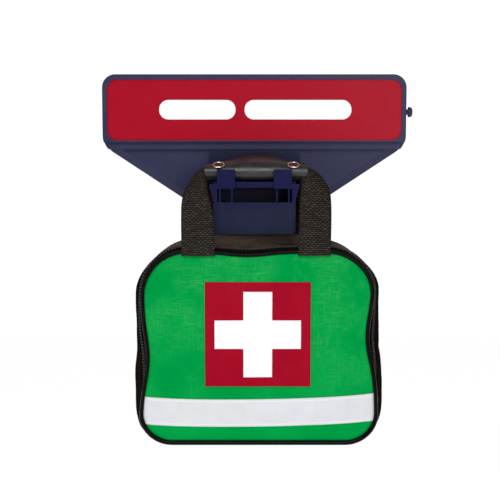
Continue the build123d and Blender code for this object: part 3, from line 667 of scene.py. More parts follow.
NAVY = moulded_plastic("navy_plastic", linear(44, 46, 76), linear(37, 39, 69))
HOOK_NAVY = moulded_plastic("navy_plastic_deep", linear(30, 33, 60), linear(25, 28, 54), 0.4,
                            deep=linear(13, 17, 58), Specular_IOR_Level=0.1)
SCREW = metal("screw_steel", linear(150, 150, 155), 0.3)
SIGN_BOARD = moulded_plastic("sign_board_navy", linear(40, 42, 72), linear(34, 36, 66), 0.5)
SIGN_RED = printed_film("sign_film_red", linear(160, 10, 34))
SIGN_WHITE = printed_film("sign_print_white", linear(246, 246, 246))
GREEN = panel_cloth("green_cloth", linear(0, 143, 63), linear(0, 153, 69), linear(84, 178, 96))
# the black cloth's top tone is painted light, with painted light streaks
BLACK = black_cloth("black_cloth", linear(14, 11, 9), linear(40, 33, 28), top_light=linear(134, 118, 107))
LINING = black_cloth("lining_cloth", linear(30, 28, 28), linear(66, 62, 60), 0.8, 0.6)
PIPING = soft_plastic("piping_vinyl", linear(7, 5, 4), linear(4, 3, 2), 0.22, Specular_IOR_Level=0.09)
ZIP_TAPE = black_cloth("zip_tape_cloth", linear(12, 10, 9), linear(30, 26, 24), 0.9, 0.65)
# the coil's grey is partly its own dark plastic and partly painted highlight for the glints on black teeth
ZIP_TEETH = soft_plastic("zip_coil", linear(66, 61, 56), linear(32, 29, 27), 0.35, 0.8, 0.02,
                         Specular_IOR_Level=0.25)
# its light colour is the painted glint on the webbing's floats
WEBBING = webbing("handle_webbing", linear(17, 13, 10), linear(84, 76, 66))
LEATHER = leather("grip_leather", linear(40, 39, 37), linear(28, 28, 27))
FLAP_LEATHER = leather("flap_leather", linear(40, 40, 39), linear(28, 29, 29), 0.45)
SNAP = metal("snap_ring", linear(232, 205, 198), 0.16)
# the dish's dark red-brown is painted shade and painted reflection seen inside the snap's ring
SNAP_DISH = soft_plastic("snap_dish", linear(72, 34, 30), linear(44, 20, 18), 0.4, 0.5, 0.03)
TAPE = reflective_tape("reflective_tape", linear(222, 223, 226), linear(205, 206, 210), 26.8)
PATCH_RED = panel_cloth("patch_cloth_red", linear(153, 13, 36), linear(158, 16, 38), linear(168, 32, 50), 0.5)
PATCH_WHITE = panel_cloth("patch_cloth_white", *(linear(grey, grey, grey) for grey in (250, 252, 240)), 0.5)


# ---------------------------------------------------------------- bracket and sign: surfaces only
def finish_nodes(material, *names):
    for name in names:
        nodes[name].data.materials.clear()
        nodes[name].data.materials.append(material)


finish_nodes(NAVY, "front_cover", "wall_plate", "sign_knob")
finish_nodes(HOOK_NAVY, "hook_cradle")
finish_nodes(SCREW, "cover_screws", "cradle_screws")
finish_nodes(SIGN_BOARD, "sign_panel")
finish_nodes(SIGN_RED, "sign_face")
finish_nodes(SIGN_WHITE, "sign_bars")


# ---------------------------------------------------------------- bag: sides, back, pipings and zip
ZIP_LOW = -285.0  # the zip ends here on both sides; below it the side cloth runs on to the front seam
TAPE_REAR, TEETH_REAR, TEETH_FRONT, TAPE_FRONT = 71.8, 75.6, 78.0, 81.6
TAPES_MEET = 77.3  # under the teeth
LID_EDGE, LID_SEAM = 83.0, 86.4


def side_cloth_reach(z):
    """The side cloth stops at the zip, and below the zip's ends it runs on to the front seam."""
    return TAPE_REAR + (LID_SEAM - 0.4 - TAPE_REAR) * step_between(z, ZIP_LOW + 1, ZIP_LOW - 4)


gusset = thicken(bag_band("bag_sides", BACK_DEPTH + 1.0, side_cloth_reach, 22), 1.2)
add_piece(gusset, BLACK, "bag", ["gusset"])


def back_depth(share, x, z):
    return BACK_DEPTH + 0.6 - 0.8 * (1 - share ** 4) + 0.4 * noise.noise(Vector((x * 0.03, z * 0.03, 4)))


back = bag_face("bag_back", 1.0, BACK_DEPTH, back_depth, rings=18)
add_piece(thicken(back, 1.6), BLACK, "bag", ["back_panel"])
BOARD_DEPTH = 18.4
board = bag_face("stiffener", -2.6, BACK_DEPTH, lambda share, x, z: BOARD_DEPTH, rings=10, flip=True)
add_piece(thicken(board, 1.6, 0.0), LINING, "bag", ["back_board"])


def seam_tube(name, out, depth, radius, body, replaced):
    """Corded piping along the whole seam, fuller round the foot."""
    fuller = [0.5 * step_between(z, -280, -300) for _, z, _, _ in SEAM]
    path = [bag_point(x, z, nx, nz, out + extra, depth) for (x, z, nx, nz), extra in zip(SEAM, fuller)]
    cord = closed_tube(name, path, [radius + 0.8 * extra for extra in fuller])
    return add_piece(cord, PIPING, body, replaced)


seam_tube("piping_front", 1.5, SEAM_DEPTH + 0.6, 1.9, "lid", ["front_piping"])
seam_tube("piping_rear", 0.6, BACK_DEPTH + 0.4, 1.7, "bag", ["rear_piping"])

for name, near, far, cuts, out, thickness, material, body, node in (
    ("lid_side", LID_EDGE - 0.6, LID_SEAM, 4, 0.1, 1.0, BLACK, "lid", "lid_gusset"),
    ("zip_tape_behind", TAPE_REAR - 2.0, TAPES_MEET - 0.1, 3, 0.5, 0.7, ZIP_TAPE, "bag", "zip_tape_rear"),
    ("zip_tape_ahead", TAPES_MEET + 0.1, LID_EDGE + 0.6, 3, 0.5, 0.7, ZIP_TAPE, "lid", "zip_tape_front"),
):
    band = thicken(bag_band(name, near, far, cuts, out, ZIP_LOW), thickness)
    add_piece(band, material, body, [node])


TOOTH_PITCH, TOOTH_HALF_W, TOOTH_HALF_H, TOOTH_LIFT, TOOTH_CROWN = 2.9, 0.8, 0.75, 0.9, 0.4


def zip_coil(name, near, far, phase, body, replaced):
    """A row of coil teeth between two depths, following the bag's side."""
    centre_depth = (near + far) / 2
    ring = SEAM[SEAM[:, 1] > ZIP_LOW + 1]
    path = [bag_point(x, z, nx, nz, TOOTH_LIFT, centre_depth) for x, z, nx, nz in ring]
    normals = [Vector((nx, 0, nz)) for _, _, nx, nz in ring]
    points, faces = [], []
    travelled, due = 0.0, phase * TOOTH_PITCH
    for a, b, normal in zip(path, path[1:], normals):
        step = b - a
        while due < travelled + step.length:
            centre = a + step * ((due - travelled) / step.length)
            along = step.normalized() * TOOTH_HALF_W
            up = normal * TOOTH_HALF_H
            base = len(points)
            for depth, crown in ((near, 0), (centre_depth, TOOTH_CROWN), (far, 0)):
                middle = Vector((centre.x, depth, centre.z)) + up * crown
                points += [middle - along - up, middle + along - up, middle + along + up, middle - along + up]
            for k in (base, base + 4):
                for side in range(4):
                    after = (side + 1) % 4
                    faces.append([k + side, k + after, k + 4 + after, k + 4 + side])
            faces += [[base + 3, base + 2, base + 1, base], [base + 8, base + 9, base + 10, base + 11]]
            due += TOOTH_PITCH
        travelled += step.length
    row = smooth_object(name, [wall_point(*p) for p in points], faces)
    return add_piece(soften_edges(row, 0.25, 1), ZIP_TEETH, body, replaced)


zip_coil("zip_coil_behind", TEETH_REAR - 0.3, TEETH_FRONT + 0.1, 0.0, "bag", ["zip_teeth_rear"])
zip_coil("zip_coil_ahead", TEETH_REAR + 0.9, TAPE_FRONT - 0.4, 0.5, "lid", ["zip_teeth_front"])


# ---------------------------------------------------------------- lid: front panel, label and tape
PANEL_EDGE, PANEL_CROWN = SEAM_DEPTH + 0.4, 4.4


def panel_depth(share, x, z):
    """The front's swell: full in the middle, turning in quickly at the seam, with a few soft dents."""
    dents = 0.7 * noise.noise(Vector((x * 0.022 + 3, z * 0.028, 1.5)))
    ripples = 0.5 * noise.noise(Vector((x * 0.06, z * 0.05, 7.5))) * share ** 3
    return PANEL_EDGE + PANEL_CROWN * (1 - share ** 5) + (dents + ripples) * (1 - share ** 8)


panel = bag_face("lid_front", 0.3, SEAM_DEPTH, panel_depth, rings=34, flip=True)
panel_tree = BVHTree.FromObject(panel, bpy.context.evaluated_depsgraph_get())
add_piece(thicken(panel, 1.2), GREEN, "lid", ["front_panel"])
panel.data.materials.append(LINING)
panel.modifiers["thickness"].material_offset = 1


def panel_at(x, z):
    """How far out from the wall the front panel is at that place."""
    hit, *_ = panel_tree.ray_cast(wall_point(x, 200, z), Vector((0, 1, 0)))
    return -hit.y / MM if hit else PANEL_EDGE


def laid_on_panel(name, outline, lift, cell, thickness):
    """A flat shape laid on the front panel. Its outline maps 0 to 1 each way to (x, z)."""
    u_count = round(hypot(*(np.array(outline(1, 0.5)) - np.array(outline(0, 0.5)))) / cell) + 1
    v_count = round(hypot(*(np.array(outline(0.5, 1)) - np.array(outline(0.5, 0)))) / cell) + 1

    def place(u, v):
        x, z = outline(u, v)
        return x, panel_at(x, z) + lift, z

    return thicken(grid(name, place, np.linspace(0, 1, u_count), np.linspace(0, 1, v_count)), thickness)


PATCH_CENTRE = (3.1, -211.2)
PATCH_SIDE, CROSS_REACH = 99.4, 81.2


def rectangle(width, height, centre):
    return lambda u, v: (centre[0] + (u - 0.5) * width, centre[1] + (v - 0.5) * height)


patch = laid_on_panel("label", rectangle(PATCH_SIDE, PATCH_SIDE, PATCH_CENTRE), 0.55, 3.0, 0.5)
add_piece(soften_edges(patch, 0.25), PATCH_RED, "lid", ["label_patch"])
third = CROSS_REACH / 3  # cells of a ninth of this make the cross end on their edges
cross = laid_on_panel("label_cross", rectangle(CROSS_REACH, CROSS_REACH, PATCH_CENTRE), 0.8, third / 9, 0.3)
plan = bmesh.new()
plan.from_mesh(cross.data)
corners = []
for face in plan.faces:
    middle = face.calc_center_median() / MM
    if min(abs(middle.x - PATCH_CENTRE[0]), abs(middle.z - PATCH_CENTRE[1])) > third / 2:
        corners.append(face)
bmesh.ops.delete(plan, geom=corners, context="FACES")
plan.to_mesh(cross.data)
plan.free()
add_piece(cross, PATCH_WHITE, "lid", ["patch_cross"])

STRIPE_Z, STRIPE_H = -286.6, 26.8


def stripe_outline(u, v):
    """The tape droops a little in the middle and runs to the seam on both sides."""
    height = STRIPE_H * (v - 0.5)
    x = (u - 0.5) * 2
    z = STRIPE_Z + 3.2 * x * x + 1.7 * x + height
    ring = [bag_point(*row, 0.3, SEAM_DEPTH) for row in SEAM if row[1] < -200]
    sides = [p for p in ring if (p.x > 0) == (x > 0)]
    edge = min(sides, key=lambda p: abs(p.z - z))
    return LEAN_X + (abs(edge.x - LEAN_X) - 0.3) * x, z


stripe = laid_on_panel("tape_stripe", stripe_outline, 0.5, 3.0, 0.35)
add_piece(stripe, TAPE, "lid", ["reflective_stripe"])


# ---------------------------------------------------------------- handles: webbing straps, grip and snaps
STRAP_W, STRAP_T = 30.0, 1.7
STRAP_ROWS, STRAP_COLUMNS = 64, 15


def strap(name, stations, body, replaced):
    """Webbing between two edges. A station is inner (x, depth, z), outer (x, depth, z) and outward bow."""
    rows = []
    table = smooth_rows(stations, STRAP_ROWS)
    for i, row in enumerate(table):
        inner, outer, bow = Vector(row[:3]), Vector(row[3:6]), row[6]
        ahead = table[min(i + 1, STRAP_ROWS - 1)] - table[max(i - 1, 0)]
        along = Vector(ahead[:3]) + Vector(ahead[3:6])
        out = (outer - inner).cross(along).normalized()
        if out.y < 0:
            out.negate()
        middle = (inner + outer) / 2
        across = np.linspace(-1, 1, STRAP_COLUMNS)
        rows.append([middle + (outer - inner) * (a / 2) + out * bow * (1 - a * a) for a in across])
    flat = skin(name, rows)
    half_way = rows[STRAP_ROWS // 2]
    stretch = STRAP_W / (half_way[-1] - half_way[0]).length
    for item in flat.data.uv_layers[0].data:
        item.uv = (item.uv[0] * stretch, item.uv[1])
    return add_piece(thicken(flat, STRAP_T, 0.0), WEBBING, body, replaced)


# each handle end as (inner x, depth, z, outer x, depth, z, bow), from where it is sewn on up to the grip
FRONT_LEFT = (
    (-37.0, 91.2, -137.0, -68.0, 91.2, -137.0, 0.2),
    (-37.2, 89.2, -131.5, -68.2, 89.0, -131.3, 0.4),
    (-37.8, 83.0, -119.0, -68.8, 82.5, -119.0, 0.5),
    (-38.6, 75.0, -104.0, -69.3, 74.5, -104.0, 0.8),
    (-41.8, 68.6, -89.0, -69.0, 66.4, -88.5, 1.6),
    (-44.8, 62.6, -77.5, -66.0, 59.0, -77.5, 3.0),
    (-45.4, 57.5, -69.5, -61.0, 53.0, -69.0, 4.0),
    (-46.6, 55.5, -64.5, -55.6, 48.5, -61.6, 4.2),
    (-46.0, 54.0, -62.5, -50.0, 46.5, -58.4, 3.0),
)
FRONT_RIGHT = (
    (40.8, 91.2, -136.8, 70.9, 91.2, -136.6, 0.2),
    (41.0, 89.2, -131.2, 71.2, 89.0, -131.0, 0.4),
    (41.6, 83.0, -119.0, 72.0, 82.5, -119.0, 0.5),
    (42.4, 75.0, -104.0, 72.7, 74.5, -104.0, 0.8),
    (43.2, 67.0, -89.0, 72.9, 66.0, -88.0, 1.2),
    (44.0, 61.0, -77.5, 71.4, 58.0, -77.0, 2.4),
    (44.6, 57.5, -69.5, 66.2, 52.0, -67.4, 4.0),
    (46.2, 55.5, -64.5, 59.6, 47.5, -60.6, 4.4),
    (47.2, 54.0, -62.5, 53.6, 46.0, -58.0, 3.0),
)


def rear_handle(side):
    """The handle on the wall side: up from the back of the bag, leaning out to the grip."""
    inner, outer = (40.0, 70.0) if side > 0 else (35.5, 65.5)
    return (
        (side * inner, 13.6, -139.0, side * outer, 13.6, -139.0, 0.2),
        (side * inner, 14.5, -128.0, side * outer, 14.5, -128.0, 0.3),
        (side * (inner + 0.5), 21.0, -105.0, side * outer, 21.0, -105.0, 0.6),
        (side * (inner + 1.0), 30.0, -84.0, side * (outer - 1.5), 30.5, -83.0, 1.4),
        (side * (inner + 1.0), 37.0, -71.0, side * (outer - 8.0), 37.5, -69.0, 3.4),
        (side * (inner + 0.5), 40.5, -66.0, side * (outer - 17.0), 42.0, -62.0, 4.0),
        (side * inner, 42.0, -63.5, side * (outer - 24.0), 45.0, -58.5, 3.0),
    )


strap("handle_front_left", FRONT_LEFT, "lid", ["front_strap_left"])
strap("handle_front_right", FRONT_RIGHT, "lid", ["front_strap_right"])
strap("handle_rear_left", rear_handle(-1), "bag", ["rear_strap_left", "rear_web"])
strap("handle_rear_right", rear_handle(1), "bag", ["rear_strap_right"])

# the sleeve: an oval roll of leather round the core and both webbings, drawn in at its ends
GRIP_X, SLEEVE_HALF_L = 1.6, 49.5
SLEEVE_RINGS, SLEEVE_SIDES = 60, 40
ROLL_DEPTH, ROLL_Z, ROLL_HALF_D, ROLL_HALF_H = 48.0, -60.4, 9.4, 8.2


def sleeve_scale(x):
    along = abs(x) / SLEEVE_HALF_L
    return 1 - 0.10 * along ** 2 - 0.16 * step_between(along, 0.86, 1.0)


def end_ring(edge, side, inset, shrink):
    """A smaller ring past the edge, on the way to closing an end."""
    x = GRIP_X + side * (SLEEVE_HALF_L + inset)
    ring = []
    for _, depth, z in edge:
        ring.append((x, ROLL_DEPTH + (depth - ROLL_DEPTH) * shrink, ROLL_Z + (z - ROLL_Z) * shrink))
    return ring


def sleeve():
    rows = []
    for x in np.linspace(-SLEEVE_HALF_L, SLEEVE_HALF_L, SLEEVE_RINGS):
        scale = sleeve_scale(x)
        row = []
        for k in range(SLEEVE_SIDES):
            angle = 2 * pi * k / SLEEVE_SIDES
            dent = 1 + 0.018 * noise.noise(Vector((x * 0.08, 2 * cos(angle), 2 * sin(angle))))
            depth = ROLL_DEPTH + ROLL_HALF_D * scale * dent * cos(angle)
            z = ROLL_Z + ROLL_HALF_H * scale * dent * sin(angle) - 0.2
            row.append((x + GRIP_X, depth, max(z, -69.0)))
        rows.append(row)
    for inset, shrink in ((0.9, 0.84), (0.4, 0.6)):
        rows = [end_ring(rows[0], -1, inset, shrink), *rows, end_ring(rows[-1], 1, inset, shrink)]
    return skin("grip_sleeve", rows, closed=True, capped=True, flip=True)


# the flap's section as (depth, z), from its lip under the roll's front to its rear edge
FLAP_ROWS, FLAP_COLUMNS = 31, 80
FLAP_HALF_L, FLAP_STRAIGHT, FLAP_CORNER = 49.6, 42.0, 7.7
FLAP_TOP = 0.42  # the share of the way over that its rounded corners draw in to
FLAP_MIDDLE = smooth_rows((
    (56.2, -66.6), (58.2, -63.6), (58.7, -60.2), (57.9, -56.8), (56.2, -53.9), (52.9, -51.2), (48.3, -48.7),
    (43.6, -46.9), (38.7, -45.3)), FLAP_ROWS)
FLAP_END = smooth_rows((
    (54.4, -65.4), (56.8, -63.2), (57.7, -60.2), (57.0, -57.4), (55.4, -55.4), (52.8, -54.1), (50.1, -53.4),
    (47.5, -53.2), (45.4, -53.6)), FLAP_ROWS)


def flap_point(x, share):
    """The flap from its front lip (0) over the roll to its rear edge (1), arched most where x is 0."""
    weight = (1 - (x / 51.0) ** 2) ** 1.5
    place = share * (FLAP_ROWS - 1)
    i = min(int(place), FLAP_ROWS - 2)
    t = place - i
    a = FLAP_END[i] + (FLAP_MIDDLE[i] - FLAP_END[i]) * weight
    b = FLAP_END[i + 1] + (FLAP_MIDDLE[i + 1] - FLAP_END[i + 1]) * weight
    depth, z = a + (b - a) * t
    return x + GRIP_X, depth, z


def flap():
    rows = []
    for x in np.linspace(-FLAP_HALF_L, FLAP_HALF_L, FLAP_COLUMNS):
        into_corner = max(0, abs(x) - FLAP_STRAIGHT) / FLAP_CORNER
        length = 1 - (1 - max(1e-4, 1 - into_corner ** 2) ** 0.5) * 0.75
        shares = FLAP_TOP + (np.linspace(0, 1, FLAP_ROWS) - FLAP_TOP) * length
        rows.append([flap_point(x, share) for share in shares])
    return skin("grip_flap_cover", rows, flip=True)


add_piece(sleeve(), LEATHER, "bag", ["grip_roll"])
flap_cover = thicken(flap(), 1.5, 0.0)
add_piece(soften_edges(flap_cover, 0.5, 3), FLAP_LEATHER, "lid", ["grip_flap"])

SNAP_REACH_X, SNAP_SHARE, SNAP_TILT = 35.9, 0.55, radians(66)
RING = [(4.4, -0.2), (4.6, 0.3), (4.9, 0.75), (5.3, 0.95), (5.75, 0.7), (6.0, 0.2), (6.0, -0.5), (4.4, -0.6)]
DISH = [(0.02, 0.1), (1.2, 0.12), (2.2, 0.0), (3.0, -0.25), (3.7, 0.0), (4.3, 0.5), (4.3, -0.3), (0.02, -0.4)]
rings, dishes, studs = [], [], []
for side in (-1, 1):
    x, depth, z = flap_point(side * SNAP_REACH_X, SNAP_SHARE)
    out = Vector((0, cos(SNAP_TILT), sin(SNAP_TILT)))
    seat = Vector((x, depth, z)) + out * 0.9
    rings.append(revolve("ring", RING, seat, out))
    dishes.append(revolve("dish", DISH, seat, out))
    studs.append(revolve("stud", [(0.02, 0), (2.2, 0), (2.4, -1.2), (0.02, -1.3)], seat - out * 1.9, out))


def under_flap(x, share):
    """The webbing that joins the front straps runs close under the flap."""
    ahead = flap_point(x, min(share + 0.03, 1.0))
    here = flap_point(x, share)
    fall = Vector((0, ahead[1] - here[1], ahead[2] - here[2])).normalized()
    drop = Vector((0, fall.z, -fall.y)) * 1.5
    return Vector(here) + (drop if drop.z < 0 else -drop)


web = skin("handle_front_web", [[under_flap(x, share) for share in np.linspace(0.3, 0.86, 14)]
                                for x in np.linspace(-48.0, 48.0, 40)])
add_piece(thicken(web, 1.0, 0.0), WEBBING, "lid", ["front_web"])
add_piece(joined("snap_rings", rings), SNAP, "lid", ["snap_caps"])
# the dishes' colour is painted shade and reflection in the snaps' hollows
add_piece(joined("snap_dishes", dishes), SNAP_DISH, "lid")
add_piece(joined("snap_stud_heads", studs), SNAP, "bag", ["snap_studs"])


# ---------------------------------------------------------------- contents: packs swelled by cloth simulation
SWELL_FRAMES = 20
VOXEL = 4.0
THIN_PACK = 8.0  # a thinner pack than this lies flat and isn't swelled
PILLOW_CELLS = 24


def node_box(node):
    """The space of a CAD node as (x low, x high, depth near, depth far, z low, z high)."""
    low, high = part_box(node)
    return low.x / MM, high.x / MM, -high.y / MM, -low.y / MM, low.z / MM, high.z / MM


def within(value, low, high):
    return min(max(value, low), high)


def applied(obj):
    """Keeps what the modifiers make as the object's own mesh."""
    made = bpy.data.meshes.new_from_object(obj.evaluated_get(bpy.context.evaluated_depsgraph_get()))
    obj.modifiers.clear()
    obj.data = made
    return obj


def swell(obj, pressure, cap):
    """Inner pressure on a closed cloth shape, each point moving by no more than cap."""
    before = [v.co.copy() for v in obj.data.vertices]
    cloth = obj.modifiers.new("cloth", "CLOTH")
    cloth.settings.use_pressure = True
    cloth.settings.uniform_pressure_force = pressure
    cloth.settings.effector_weights.gravity = 0
    cloth.point_cache.frame_start, cloth.point_cache.frame_end = 1, SWELL_FRAMES
    for frame_number in range(1, SWELL_FRAMES + 1):
        bpy.context.scene.frame_set(frame_number)
    applied(obj)
    bpy.context.scene.frame_set(1)
    for vertex, start in zip(obj.data.vertices, before):
        move = vertex.co - start
        if move.length > cap * MM:
            vertex.co = start + move.normalized() * cap * MM


def pillow(name, space, slim=0.78, wrinkle=0.5, cap=4.0, pressure=4.0):
    """A soft pack: two crowned sheets sewn at their edge and swelled, flat where the space ends."""
    x_low, x_high, near, far, z_low, z_high = space
    rows = []
    for side in (-1, 1):
        for k in range(PILLOW_CELLS + 1):
            v = -side + 2 * side * k / PILLOW_CELLS
            row = []
            for j in range(PILLOW_CELLS + 1):
                u = -1 + 2 * j / PILLOW_CELLS
                full = max((1 - abs(u) ** 4) * (1 - abs(v) ** 4), 0.0) ** 0.5
                narrower = 1 - 0.03 * (1 - abs(v) ** 2) * abs(u) ** 3
                shorter = 1 - 0.035 * (1 - abs(u) ** 2) * abs(v) ** 3
                x = (x_low + x_high) / 2 + u * (x_high - x_low) / 2 * 0.97 * narrower
                depth = (near + far) / 2 + side * (far - near) / 2 * slim * full
                z = (z_low + z_high) / 2 + v * (z_high - z_low) / 2 * 0.97 * shorter
                row.append((x, depth, z))
            rows.append(row)
    pad = skin(name, rows + [rows[0]])
    if far - near > THIN_PACK:
        remesh = pad.modifiers.new("remesh", "REMESH")
        remesh.mode, remesh.voxel_size = "VOXEL", VOXEL * MM
        applied(pad)
        swell(pad, pressure, cap)
    smooth = pad.modifiers.new("smooth", "SUBSURF")
    smooth.levels = smooth.render_levels = 1
    applied(pad)
    for vertex in pad.data.vertices:
        x, depth, z = vertex.co.x / MM, -vertex.co.y / MM, vertex.co.z / MM
        ruck = wrinkle * noise.noise(Vector((x * 0.16, depth * 0.2, z * 0.07)))
        ruck += 0.6 * wrinkle * noise.noise(Vector((x * 0.35 + 5, depth * 0.4, z * 0.3)))
        depth += ruck if depth > (near + far) / 2 else -ruck
        vertex.co = wall_point(within(x, x_low, x_high), within(depth, near, far), within(z, z_low, z_high))
    pad.data.shade_smooth()
    return pad


def crimp(name, x_low, x_high, depth, z_low, z_high, ridge=0.35, pitch=1.6):
    """A flat heat-sealed edge with fine ridges across it."""
    def place(x, z):
        return x, depth + ridge * sin(2 * pi * z / pitch), z

    zs = np.arange(z_low, z_high + 0.01, pitch / 4)
    return thicken(grid(name, place, np.linspace(x_low, x_high, 20), zs), 0.3, 0.0)


def wrapper(name, tint, shade, metallic=0.0, crease=0.35):
    """Thin packing film drawn tight: sharp little creases that catch the light."""
    paint = Paint(name, 0.28, Specular_IOR_Level=0.5, Metallic=metallic)
    place = paint.place()
    folds = paint.cells(place, 0.13, "DISTANCE_TO_EDGE")
    cloud = paint.noise(place, 0.12, 4, 0.6)
    paint.colour(paint.ramp(cloud, 0.3, 0.7, shade, tint))
    paint.roughness(cloud, 0.2, 0.4)
    wide = paint.bump(folds, crease * 2, 0.5)
    paint.bump(cloud, crease, 0.7, wide)
    return paint.material


def ribbed(name, tint, light, pitch):
    """Flat knitted elastic: fine ribs along its length. V runs across it."""
    paint = Paint(name, 0.7, Specular_IOR_Level=0.1)
    u, v, _ = paint.split(paint.place("UV"))
    ribs = paint.size(paint.math("SINE", paint.times(v, pi / pitch)))
    knots = paint.size(paint.math("SINE", paint.times(u, pi / 0.8)))
    paint.colour(paint.mix(paint.times(ribs, knots), tint, light))
    paint.bump(ribs, 0.25, 0.7, paint.bump(knots, 0.08, 0.5))
    return paint.material


FOAM = soft_plastic("core_foam", linear(60, 60, 60), linear(44, 44, 44), 0.9, 1.4, 0.2)
STRETCH = ribbed("loop_elastic", linear(24, 24, 26), linear(70, 70, 74), 1.3)
# its light colour is the painted glint on the webbing's floats
TQ_WEBBING = webbing("tourniquet_webbing", linear(20, 20, 22), linear(72, 72, 76), (2.6, 1.5), (2.2, 1.0))
TQ_PLASTIC = moulded_plastic("tourniquet_plastic", linear(38, 38, 41), linear(30, 30, 33), 0.4, 0.05)
ALLOY = metal("windlass_alloy", linear(150, 152, 156), 0.28, 0.04)
DRESSING = wrapper("dressing_film", linear(190, 190, 170), linear(166, 166, 146))
GAUZE = wrapper("gauze_film", linear(228, 230, 228), linear(205, 210, 210))
GLOVES = wrapper("glove_film", linear(96, 140, 205), linear(70, 112, 180))
FOIL = wrapper("foil_film", linear(222, 218, 204), linear(190, 186, 172), 0.6, 0.5)
POUCH = wrapper("pouch_film", linear(214, 216, 218), linear(190, 193, 196), 0.2, 0.25)
PEN = soft_plastic("pen_plastic", linear(34, 34, 37), linear(26, 26, 28), 0.25, 0.4, 0.02,
                   Specular_IOR_Level=0.5)
SLIDER = metal("slider_metal", linear(66, 64, 62), 0.35, 0.05)
WINDOW = soft_plastic("pocket_vinyl", linear(200, 205, 208), linear(185, 190, 194), 0.12, 0.05, 0.5,
                      Alpha=0.22, Specular_IOR_Level=0.5)
TAG = black_cloth("tag_cloth", linear(236, 236, 232), linear(250, 250, 248), 0.5, 0.7)

finish_nodes(FOAM, "grip_core")
finish_nodes(TQ_PLASTIC, "tourniquet_buckle", "windlass_plate", "windlass_clip")
finish_nodes(ALLOY, "windlass_rod")
finish_nodes(PEN, "pen_barrel", "pen_cap")
finish_nodes(SLIDER, "zip_slider", "zip_pull")


def packed(name, space, material, body, slot, replaced, fill=0.7, seal=6.0, **shape):
    """A sealed pack: the swelled pillow between two crimped ends."""
    x_low, x_high, near, far, z_low, z_high = space
    inner = (x_low, x_high, near, far, z_low + seal * 0.3, z_high - seal * 0.3)
    pad = pillow(name, inner, **shape)
    add_piece(pad, material, body, replaced)
    middle = (near + far) / 2
    width = (x_high - x_low) * 0.47
    centre = (x_low + x_high) / 2
    for word, low in (("foot", z_low), ("head", z_high - seal)):
        end = crimp(f"{name}_{word}", centre - width, centre + width, middle, low, low + seal)
        add_piece(end, material, body)


DRESSING_W = 62.0
left, right, near, far, low, high = node_box("pressure_dressings")
for word, start, replaced in (("left", left, ["pressure_dressings"]), ("right", right - DRESSING_W, ())):
    packed(f"dressing_{word}", (start, start + DRESSING_W, near, far, low, high), DRESSING, "bag",
           "dressing_wrap", replaced, 0.85)
packed("gauze", node_box("gauze_pack"), GAUZE, "bag", "dressing_wrap", ["gauze_pack"], 0.7)
packed("gloves", node_box("glove_pack"), GLOVES, "bag", "glove_blue", ["glove_pack"], 0.5, wrinkle=0.9)
packed("blanket", node_box("foil_blanket"), FOIL, "bag", "foil", ["foil_blanket"], 0.8, wrinkle=0.7)
packed("chest_seal", node_box("chest_seal_pack"), POUCH, "lid", "foil", ["chest_seal_pack"], 0.3, 7.0,
       slim=0.9, wrinkle=0.2, cap=0.6)

# the pocket on the inside of the lid: a clear vinyl window bound with tape, open at the top
x_low, x_high, near, far, z_low, z_high = node_box("inner_pocket")
BINDING_W, WINDOW_INSET = 9.0, 3.0


def window_point(x, z):
    """The window hangs away from the lid a little in the middle of its open edge."""
    drop = step_between(z, z_high - 40, z_high)
    return x, near + 1.4 - 0.8 * drop * cos(pi * x / (x_high - x_low)), z


xs = np.linspace(x_low + WINDOW_INSET, x_high - WINDOW_INSET, 30)
zs = np.linspace(z_low + WINDOW_INSET, z_high - 2, 30)
window = thicken(grid("pocket_window", window_point, xs, zs, flip=True), 0.4)
add_piece(window, WINDOW, "lid", ["inner_pocket"])
bindings = []
for from_x, to_x, from_z, to_z in (
    (x_low, x_high, z_low, z_low + BINDING_W),
    (x_low, x_low + BINDING_W, z_low, z_high),
    (x_high - BINDING_W, x_high, z_low, z_high),
    (x_low, x_high, z_high - BINDING_W, z_high),
):
    xs, zs = np.linspace(from_x, to_x, 12), np.linspace(from_z, to_z, 12)
    bindings.append(grid("binding", lambda x, z: (x, near + 0.5, z), xs, zs, flip=True))
binding = thicken(joined("pocket_binding", bindings), 0.5)
add_piece(binding, STRETCH, "lid")

# ---------------------------------------------------------------- contents: the tourniquet's soft parts
x_low, x_high, near, far, z_low, z_high = node_box("tourniquet_strap")
LAYER, LAYER_COUNT = 1.4, 3


def racetrack(half_l, depth_low, depth_high, steps=20):
    """A flat closed loop in plan: two straight runs joined by half circles, as (x, depth)."""
    radius = (depth_high - depth_low) / 2
    middle = (depth_high + depth_low) / 2
    line = []
    for side in (1, -1):
        for k in range(steps + 1):
            angle = side * (-pi / 2 + pi * k / steps)
            centre = side * (half_l - radius)
            line.append((centre + side * radius * cos(angle), middle + radius * sin(angle)))
    return line


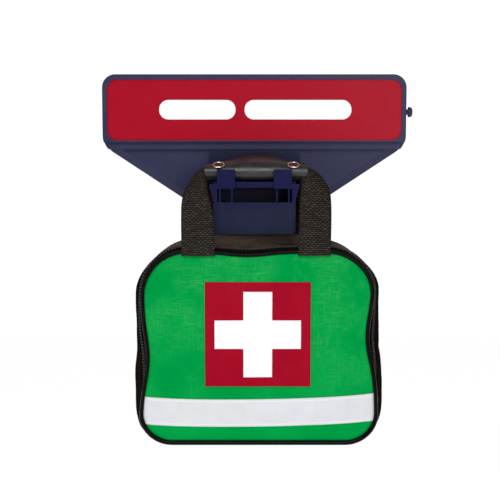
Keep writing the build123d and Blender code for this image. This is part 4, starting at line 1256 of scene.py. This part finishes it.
layers = []
for k in range(LAYER_COUNT):
    inset = LAYER * (k + 0.5)
    loop = racetrack(x_high - inset, near + inset, far - inset)
    edge = LAYER / 2 * k
    zs = np.linspace(z_low + edge, z_high - edge * 0.4, 8)
    layer = skin("layer", [[(x, depth, z) for x, depth in loop] for z in zs], closed=True)
    layers.append(layer)
webbing_roll = thicken(joined("tourniquet_webbing", layers), 1.15, 0.0)
add_piece(webbing_roll, TQ_WEBBING, "bag", ["tourniquet_strap"])

x_low, x_high, near, far, z_low, z_high = node_box("elastic_loops")
LOOP_W, LOOP_T, LOOP_R = 16.0, 1.1, 4.0


def loop_line():
    """The loop's section as (depth, z): up from the back board, round the strap and down again."""
    line = [(near + 0.2, z_low + LOOP_T / 2)]
    for z, side in ((z_low + LOOP_T / 2, -1), (z_high - LOOP_T / 2, 1)):
        corner = []
        for angle in np.linspace(0, pi / 2, 7):
            depth = far - LOOP_T / 2 - LOOP_R + LOOP_R * sin(angle)
            corner.append((depth, z - side * LOOP_R + side * LOOP_R * cos(angle)))
        line += corner if side < 0 else corner[::-1]
    line.append((near + 0.2, z_high - LOOP_T / 2))
    return line


for side, word in ((-1, "left"), (1, "right")):
    middle = side * (x_high - LOOP_W / 2)
    xs = np.linspace(middle - LOOP_W / 2, middle + LOOP_W / 2, 10)
    rows = [[(x, depth, z) for depth, z in loop_line()] for x in xs]
    loop = thicken(skin(f"elastic_{word}", rows), LOOP_T, 0.0)
    add_piece(loop, STRETCH, "bag", ["elastic_loops"] if side < 0 else ())

x_low, x_high, near, far, z_low, z_high = node_box("windlass_loop")
rows = []
for depth in np.linspace(near + 0.2, far - 0.3, 14):
    narrow = 0.9 - 0.12 * sin(pi * (depth - near) / (far - near))
    rows.append([(x * narrow, depth, (z_low + z_high) / 2) for x in np.linspace(x_low, x_high, 9)])
add_piece(thicken(skin("windlass_ribbon", rows), 1.1, 0.0), TQ_WEBBING, "windlass",
          ["windlass_loop"])

x_low, x_high, near, far, z_low, z_high = node_box("time_tag")
xs, zs = np.linspace(x_low, x_high, 12), np.linspace(z_low, z_high, 16)
tag = grid("write_on_tag", lambda x, z: (x, near + 0.3 + 0.15 * sin(x * 0.4), z), xs, zs, flip=True)
add_piece(thicken(tag, 0.4), TAG, "bag", ["time_tag"])
